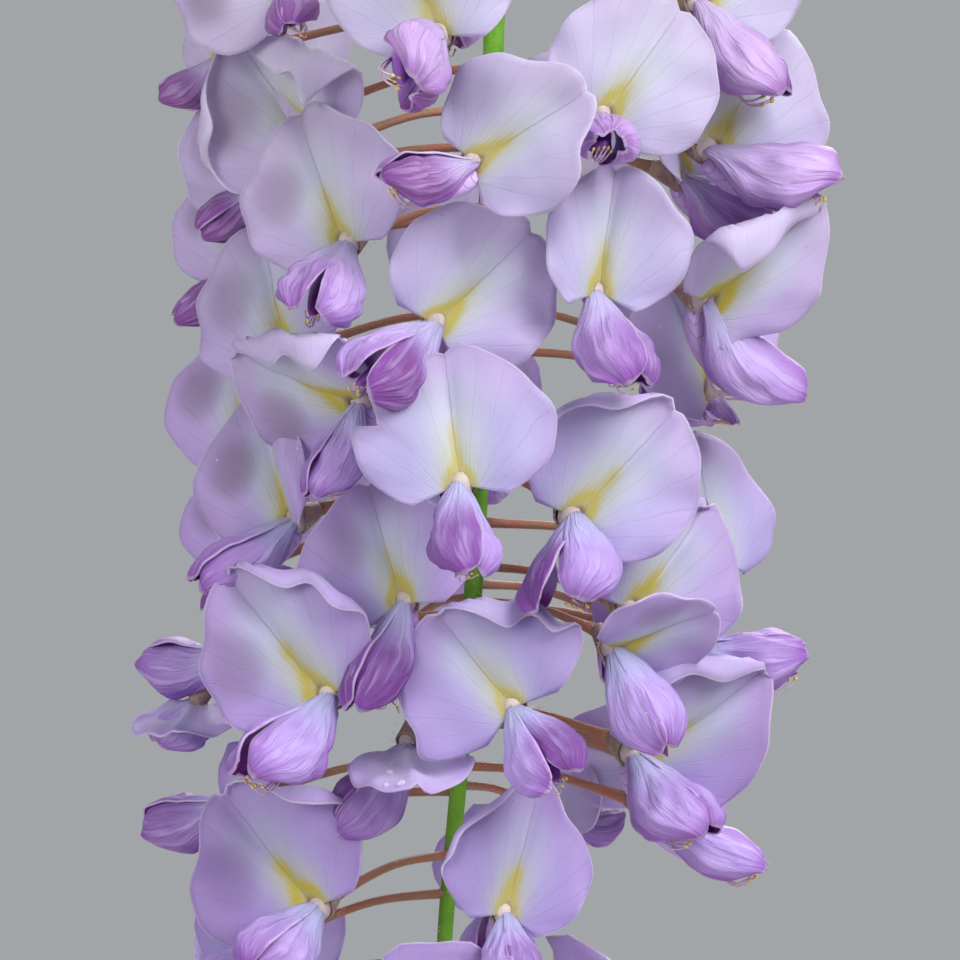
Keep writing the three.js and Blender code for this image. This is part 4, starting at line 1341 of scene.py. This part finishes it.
leaves = [
    {"arm": "rightArm", "along": 0.34, "heading": 150, "climb": 48, "length": 128},
    {"arm": "rightArm", "along": 0.62, "heading": 30, "climb": 60, "length": 117.2},
    {"arm": "rightArm", "along": 0.84, "heading": 100, "climb": 34, "length": 118},
    {"arm": "leftArm", "along": 0.4, "heading": -30, "climb": 56, "length": 120},
    {"arm": "leftArm", "along": 0.68, "heading": 210, "climb": 50, "length": 116},
    {"arm": "leftArm", "along": 0.88, "heading": -88, "climb": 30, "length": 112},
    {"arm": "backArm", "along": 0.45, "heading": -120, "climb": 58, "length": 118},
    {"arm": "backArm", "along": 0.82, "heading": 165, "climb": 36, "length": 112},
]
leaflet = {
    "length": 40.0, "halfWidth": 8.0, "lean": 58, "thickness": 0.32, "pairs": 4, "columns": 10, "rows": 16,
    "hollow": 0.22, "ripple": 0.5, "through": 0.22, "fresh": "7b9c35", "edge": "a8a050",
    "top": ("446f2a", "557f31", "9db85a"), "under": ("6e9149", "7a9a55", "adc083"),
    "rib": ("93ac4c", "a08a4c"),
}


# Shares of a leaf's length: where its rib bends over, its reach and sag from there, and where leaflets sit.
rib = {
    "shoulder": 0.55, "reach": 0.5, "sag": 0.12, "firstPair": 0.34, "lastPair": 0.84,
    "steps": 40, "sides": 10,
}


def ribCorners(leaf):
    limb = vine["limbs"][leaf["arm"]]
    heading, climb = rad(leaf["heading"]), rad(leaf["climb"])
    out = Vector((math.sin(heading), -math.cos(heading), 0))
    rise = out * math.cos(climb) + Vector((0, 0, math.sin(climb)))
    root = pathPoint(limb["path"], leaf["along"]) + rise * (limbRadius(limb["radii"], leaf["along"]) + 0.3)
    shoulder = root + rise * leaf["length"] * rib["shoulder"]
    sag = Vector((0, 0, leaf["length"] * rib["sag"]))
    return root, shoulder, shoulder + out * leaf["length"] * rib["reach"] - sag


def ribPoint(corners, share):
    root, shoulder, tip = corners
    return root * (1 - share) ** 2 + shoulder * 2 * share * (1 - share) + tip * share**2


# A place on the leaf: x runs along the rib, y out to its side and lift stands off it.
def leafPoint(leaf, corners, x, y, lift):
    root, shoulder, tip = corners
    share = x / (leaf["length"] + leaflet["length"])
    ahead = ((shoulder - root) * (1 - share) + (tip - shoulder) * share).normalized()
    across = ahead.cross(Vector((0, 0, 1))).normalized()
    up = across.cross(ahead)
    return ribPoint(corners, share) - across * y + up * (lift - y * y / 130)


# A leaflet that leaves the rib at a station, leaning out to its side; it is hollow along its midrib.
def addLeaflet(bm, leaf, corners, station, lean, side, size, draw):
    length, half = leaflet["length"] * size, leaflet["halfWidth"] * size
    sag, twist, phase, tint = 1.9 + 2.5 * draw(), (draw() - 0.5) * 0.3, draw() * 6, draw()

    def spot(acrossShare, share):
        w = acrossShare * 2 - 1
        width = half * math.sin(math.pi * share**0.78) ** 0.82 * (1.04 - 0.34 * share) + 0.25
        wave = 1 + 0.035 * math.sin(share * 21 + phase + w)
        forward = 1.2 + (length - 1.2) * share
        a = w * width * wave
        x = station + forward * math.cos(lean) + side * a * math.sin(lean)
        y = side * forward * math.sin(lean) - a * math.cos(lean)
        lift = abs(w) ** 1.3 * width * leaflet["hollow"] - sag * share**2 + twist * a
        lift += leaflet["ripple"] * abs(w) ** 3 * math.sin(share * 13 + phase + w * 2)
        lift += 0.16 * math.sin(abs(a) * 1.2 - forward * 1.9) * (1 - abs(w)) * 0.6
        return leafPoint(leaf, corners, x, y, lift), flatUv(a, forward), abs(w)

    addSheet(bm, leaflet["columns"], leaflet["rows"], spot, tint, leaflet["thickness"], back=1)
    foot = leafPoint(leaf, corners, station, 0, -0.2)
    first = leafPoint(leaf, corners, *flatStep(station, lean, side, 1.4), 0)
    last = leafPoint(leaf, corners, *flatStep(station, lean, side, 3.4), -0.15)
    addTube(bm, [foot, first, last], [0.6, 0.65, 0.35], 6, tint, material=2)


def flatStep(station, lean, side, forward):
    return station + forward * math.cos(lean), side * forward * math.sin(lean)


def addLeaf(bm, leaf, draw):
    corners = ribCorners(leaf)
    length, pairs = leaf["length"], leaflet["pairs"]
    for i in range(pairs):
        station = length * mix(rib["firstPair"], rib["lastPair"], i / (pairs - 1))
        size = 0.74 + 0.26 * math.sin(math.pi * mix(0.15, 0.85, i / (pairs - 1)))
        for side in (-1, 1):
            lean = rad(leaflet["lean"] + 8 * (draw() - 0.5))
            addLeaflet(bm, leaf, corners, station + 2 * (draw() - 0.5), lean, side, size, draw)
    addLeaflet(bm, leaf, corners, length * 0.975, 0.0, 1, 1.05, draw)
    steps = rib["steps"]
    end = (length + 2) / (length + leaflet["length"])
    run = [ribPoint(corners, mix(-0.006, end, i / steps)) for i in range(steps + 1)]
    radii = [mix(1.15, 0.55, i / steps) + 1.1 * math.exp(-i / 1.6) for i in range(steps + 1)]
    addTube(bm, run, radii, rib["sides"], material=2)


# A midrib with slanting side veins that bend towards the tip.
def makeLeafVeinGroup():
    tree, given, result = newGroup("leafVeins", {"Across": 0, "Up": 0, "Step": 3.4}, ["Veins", "Midrib"])
    away = sums(tree, "ABSOLUTE", given["Across"])
    bent = scaled(tree, times(tree, away, away), -0.05, times(tree, away, -1.05))
    place = sums(tree, "ADD", given["Up"], bent)
    side = times(tree, sums(tree, "SIGN", given["Across"]), 0.9)
    wave = sums(tree, "SINE", scaled(tree, place, sums(tree, "DIVIDE", math.pi, given["Step"]), side))
    feed(tree, result["Veins"], between(tree, sums(tree, "ABSOLUTE", wave), 0.17, 0.02))
    feed(tree, result["Midrib"], between(tree, away, 0.5, 0.12))
    return tree


leafVeinGroup = makeLeafVeinGroup()


# The veins are sunk into a leaflet's top and stand out below it.
def leafMaterial(name, tones, roughness, relief):
    material, tree, shader = newMaterial(name, roughness, 0.5)
    first, second, veinTone = (colour(code) for code in tones)
    across, up = flatPlace(tree)
    veins = useGroup(tree, leafVeinGroup, {"Across": across, "Up": up})
    body = blend(tree, cloudMask(tree, 0.009, 0.3, 0.7), first, second)
    body = lay(tree, body, colour(leaflet["fresh"]), attribute(tree, "tint"), 0.4)
    body = lay(tree, body, colour(leaflet["edge"]), between(tree, attribute(tree, "rim"), 0.7, 1.0), 0.4)
    body = lay(tree, body, veinTone, veins["Veins"], 0.45)
    body = lay(tree, body, veinTone, veins["Midrib"], 0.8)
    allVeins = sums(tree, "MAXIMUM", veins["Veins"], veins["Midrib"])
    height = scaled(tree, allVeins, relief, grainHeight(tree, 0.0005))
    paint(tree, shader, body, height, 0.00015, through=leaflet["through"])
    return material


def makeLeaves():
    looks = [
        leafMaterial("leafTop", leaflet["top"], 0.46, -1.4),
        leafMaterial("leafUnder", leaflet["under"], 0.6, 1.4),
        fleshMaterial("leafRib", *leaflet["rib"], size=0.01),
    ]
    draw = seeded(61)
    for i, leaf in enumerate(leaves):
        bm = newShape()
        addLeaf(bm, leaf, draw)
        finishPiece(f"leafBlades_{i + 1}", bm, looks, "leaf", f"leaf_{i + 1}")
    print("leaves made")


makeLeaves()

pot = {
    "topRadius": 100, "baseRadius": 70, "height": 170, "wall": 7, "floor": 9, "rimHeight": 30, "rimOut": 7,
    "sides": 128, "edgeRound": 1.6, "sharp": 18,
    "holes": 4, "holeRadius": 6, "holeRing": 42, "holeDepth": 40,
    "clay": "b5684a", "paleClay": "c37c58", "speck": "8f4e36", "damp": "7d4733", "lime": "d9cbbb",
}
soil = {
    "top": 156, "mound": 7, "gap": 0.33, "rings": 46, "sectors": 120, "edgeDrop": 1.5,
    "crumbs": 620, "clearOfTrunk": 24,
    "dark": "33251b", "light": "4a3829", "crumb": "5d4936", "fleck": "86705a",
}


# The wall's outer radius at a height below the rim band.
def wallRadius(z):
    return mix(pot["baseRadius"], pot["topRadius"] - pot["rimOut"], z / (pot["height"] - pot["rimHeight"]))


def innerRadius(z):
    shoulder = pot["height"] - pot["rimHeight"] - 6
    lower = pot["baseRadius"] - pot["wall"]
    middle = wallRadius(pot["height"] - pot["rimHeight"]) - pot["wall"]
    if z < shoulder:
        return mix(lower, middle, (z - pot["floor"]) / (shoulder - pot["floor"]))
    return mix(middle, pot["topRadius"] - pot["wall"], (z - shoulder) / (pot["height"] - 1.5 - shoulder))


# Radius and height of each corner, from the middle of the base up the outside and down the inside.
def potProfile():
    top, base, height = pot["topRadius"], pot["baseRadius"], pot["height"]
    band = height - pot["rimHeight"]
    return [
        (0, 0), (base * 0.5, 0), (base - 3, 0), (base, 3), (wallRadius(band * 0.33), band * 0.33),
        (wallRadius(band * 0.66), band * 0.66), (wallRadius(band - 3), band - 3), (top - 2, band),
        (top, band + 3), (top, height - 4), (top - 3, height), (top - pot["wall"], height - 1.5),
        (innerRadius(band - 6), band - 6), (innerRadius(band * 0.5), band * 0.5),
        (base - pot["wall"], pot["floor"]), (base * 0.5, pot["floor"]), (0, pot["floor"]),
    ]


def clayMaterial():
    material, tree, shader = newMaterial("clay", 0.82, 0.3)
    z = heightUp(tree)
    clouds = cloudMask(tree, 0.06, 0.35, 0.65, detail=4)
    specks = cloudMask(tree, 0.0022, 0.6, 0.72, detail=2)
    body = blend(tree, clouds, colour(pot["clay"]), colour(pot["paleClay"]))
    body = lay(tree, body, colour(pot["speck"]), specks, 0.4)
    # damp at the foot, with a ragged edge, and pale lime below the rim band
    ragged = scaled(tree, clouds, 0.03, z)
    damp = between(tree, ragged, 0.055, 0.01)
    body = lay(tree, body, colour(pot["damp"]), damp, 0.45)
    limeBand = times(tree, between(tree, ragged, 0.07, 0.12), between(tree, ragged, 0.165, 0.14))
    lime = times(tree, limeBand, cloudMask(tree, 0.018, 0.5, 0.75, detail=5))
    body = lay(tree, body, colour(pot["lime"]), lime, 0.55)
    feed(tree, shader.inputs["Roughness"], scaled(tree, damp, -0.15, 0.86))
    # fine rings left by the wheel
    rings = sums(tree, "SINE", scaled(tree, z, 2600.0, times(tree, clouds, 3.0)))
    grain = scaled(tree, specks, -0.6, grainHeight(tree, 0.0008))
    paint(tree, shader, body, sums(tree, "ADD", times(tree, rings, 0.12), grain), 0.0004, strength=0.7)
    return material


def makePot():
    bm = newShape()
    profile = potProfile()
    verts = [bm.verts.new((r, 0, z)) for r, z in profile]
    edges = [bm.edges.new(pair) for pair in zip(verts, verts[1:])]
    bmesh.ops.spin(
        bm, geom=verts + edges, cent=(0, 0, 0), axis=(0, 0, 1), angle=math.tau,
        steps=pot["sides"], use_merge=True,
    )
    bmesh.ops.remove_doubles(bm, verts=bm.verts, dist=1e-3)
    bmesh.ops.recalc_face_normals(bm, faces=bm.faces)
    sharp = [edge for edge in bm.edges if edge.calc_face_angle(0.0) > rad(pot["sharp"])]
    bmesh.ops.bevel(
        bm, geom=sharp, offset=pot["edgeRound"], segments=3, affect="EDGES", profile=0.5, material=-1
    )
    for face in bm.faces:
        face.smooth = True
    piece = finishPiece("potWall", bm, [clayMaterial()], "clay", "pot")
    cutter = bmesh.new()
    for i in range(pot["holes"]):
        turn = (i + 0.5) / pot["holes"] * math.tau
        at = Matrix.Translation((pot["holeRing"] * math.cos(turn), pot["holeRing"] * math.sin(turn), 5))
        addCone(cutter, 32, pot["holeRadius"], pot["holeRadius"], pot["holeDepth"], at)
    drill = meshObject("drill", cutter)
    cut = piece.modifiers.new("holes", "BOOLEAN")
    cut.operation, cut.solver, cut.object = "DIFFERENCE", "EXACT", drill
    bpy.context.view_layer.update()
    done = bpy.data.meshes.new_from_object(piece.evaluated_get(bpy.context.evaluated_depsgraph_get()))
    piece.modifiers.clear()
    piece.data = done
    bpy.data.objects.remove(drill)
    print("pot made")


def soilHeight(x, y):
    far = math.hypot(x, y)
    top = soil["top"] + soil["mound"] * (1 - ease(10, innerRadius(soil["top"]), far))
    rough = noise.noise(Vector((x / 16, y / 16, 4))) * 2.2 + noise.noise(Vector((x / 5, y / 5, 9))) * 1.3
    return top + rough + noise.noise(Vector((x / 1.9, y / 1.9, 2))) * 0.7


def soilMaterial():
    material, tree, shader = newMaterial("soil", 0.95, 0.2)
    clouds = cloudMask(tree, 0.012, 0.35, 0.65, detail=6)
    flecks = cloudMask(tree, 0.0016, 0.62, 0.7, detail=2)
    body = blend(tree, clouds, colour(soil["dark"]), colour(soil["light"]))
    body = lay(tree, body, colour(soil["crumb"]), attribute(tree, "tint"), 0.5)
    body = lay(tree, body, colour(soil["fleck"]), flecks, 0.5)
    paint(tree, shader, body, grainHeight(tree, 0.0016, cells=1.2), 0.0012, strength=1.0)
    return material


def makeSoil():
    bm = newShape()
    floorZ, rimZ = pot["floor"] + 0.3, soil["top"] - soil["edgeDrop"]
    edge = innerRadius(soil["top"]) - soil["gap"]

    def topSpot(around, out):
        turn = around * math.tau
        x, y = edge * out * math.cos(turn), edge * out * math.sin(turn)
        kept = 1 - ease(0.93, 1.0, out)
        return Vector((x, y, mix(rimZ, soilHeight(x, y), kept))), (around, out), out

    def sideSpot(around, down):
        turn = around * math.tau
        z = mix(rimZ, floorZ, clamp(down / 0.9))
        radius = (innerRadius(z) - soil["gap"]) * (1 - ease(0.9, 1.0, down))
        return Vector((radius * math.cos(turn), radius * math.sin(turn), z)), (around, down), down

    addSheet(bm, soil["sectors"], soil["rings"], topSpot, 0.3, weld=True)
    addSheet(bm, soil["sectors"], 10, sideSpot, 0.3, weld=True)
    bmesh.ops.remove_doubles(bm, verts=bm.verts, dist=0.02)
    bmesh.ops.recalc_face_normals(bm, faces=bm.faces)
    earth = soilMaterial()
    finishPiece("soilBed", bm, [earth], "earth", "soil")
    draw = seeded(83)
    crumbs = newShape()
    for _ in range(soil["crumbs"]):
        far, turn = edge * 0.97 * math.sqrt(draw()), draw() * math.tau
        x, y = far * math.cos(turn), far * math.sin(turn)
        size = 0.7 + 2.1 * draw() ** 3
        spin = Matrix.Rotation(draw() * 6, 3, "Z") @ Matrix.Rotation(draw() * 6, 3, "X")
        shape = (size * (0.8 + 0.5 * draw()), size, size * (0.6 + 0.3 * draw()))
        if far + size < edge and far > soil["clearOfTrunk"]:
            addBall(crumbs, Vector((x, y, soilHeight(x, y) + size * 0.25)), shape, spin, 1, draw())
    finishPiece("soilCrumbs", crumbs, [earth], "earth", "soil")
    print("soil made")


makePot()
makeSoil()

stage = {"floorRadius": 5.0, "floor": "cac9c6", "sky": "c9ccd0", "skyStrength": 0.62}


def makeStage():
    bm = bmesh.new()
    bmesh.ops.create_circle(bm, cap_ends=True, segments=96, radius=stage["floorRadius"])
    material, _, shader = newMaterial("floorPaint", 0.8, 0.2)
    shader.inputs["Base Color"].default_value = colour(stage["floor"])
    meshObject("floor", bm, [material], scale=1.0)
    world = bpy.data.worlds.new("studio")
    world.use_nodes = True
    sky = world.node_tree.nodes["Background"]
    sky.inputs["Color"].default_value = colour(stage["sky"])
    sky.inputs["Strength"].default_value = stage["skyStrength"]
    bpy.context.scene.world = world
    bpy.context.scene.view_settings.view_transform = "Standard"


lamps = {
    "key": {"at": (1.0, -0.8, 1.45), "aim": (0.12, 0.0, 0.45), "size": 1.0, "power": 26.0},
    "fill": {"at": (-1.3, -1.3, 0.9), "aim": (0.1, 0.0, 0.45), "size": 1.2, "power": 16.5},
    "back": {"at": (0.4, 1.1, 1.5), "aim": (0.1, 0.0, 0.5), "size": 0.9, "power": 20},
}


def makeLamps():
    for name, lamp in lamps.items():
        data = bpy.data.lights.new(name, "AREA")
        data.size = lamp["size"]
        data.energy = lamp["power"]
        light = placeObject(name, data)
        light.location = lamp["at"]
        aim = Vector(lamp["aim"]) - Vector(lamp["at"])
        light.rotation_euler = aim.to_track_quat("-Z", "Y").to_euler()


# The camera looks level at the main raceme; its picture is viewWidth wide at the stem.
cameraSet = {"x": 0.150, "stemY": -0.030, "z": 0.516, "distance": 0.750, "viewWidth": 0.128, "sensor": 36.0}


def makeCamera():
    data = bpy.data.cameras.new("camera")
    data.sensor_width = cameraSet["sensor"]
    data.lens = cameraSet["sensor"] * cameraSet["distance"] / cameraSet["viewWidth"]
    data.clip_start, data.clip_end = 0.05, 60
    camera = placeObject("camera", data)
    camera.location = (cameraSet["x"], cameraSet["stemY"] - cameraSet["distance"], cameraSet["z"])
    camera.rotation_euler = (math.pi / 2, 0, 0)
    bpy.context.scene.camera = camera


makeStage()
makeLamps()
makeCamera()
print("stage, lamps and camera made")
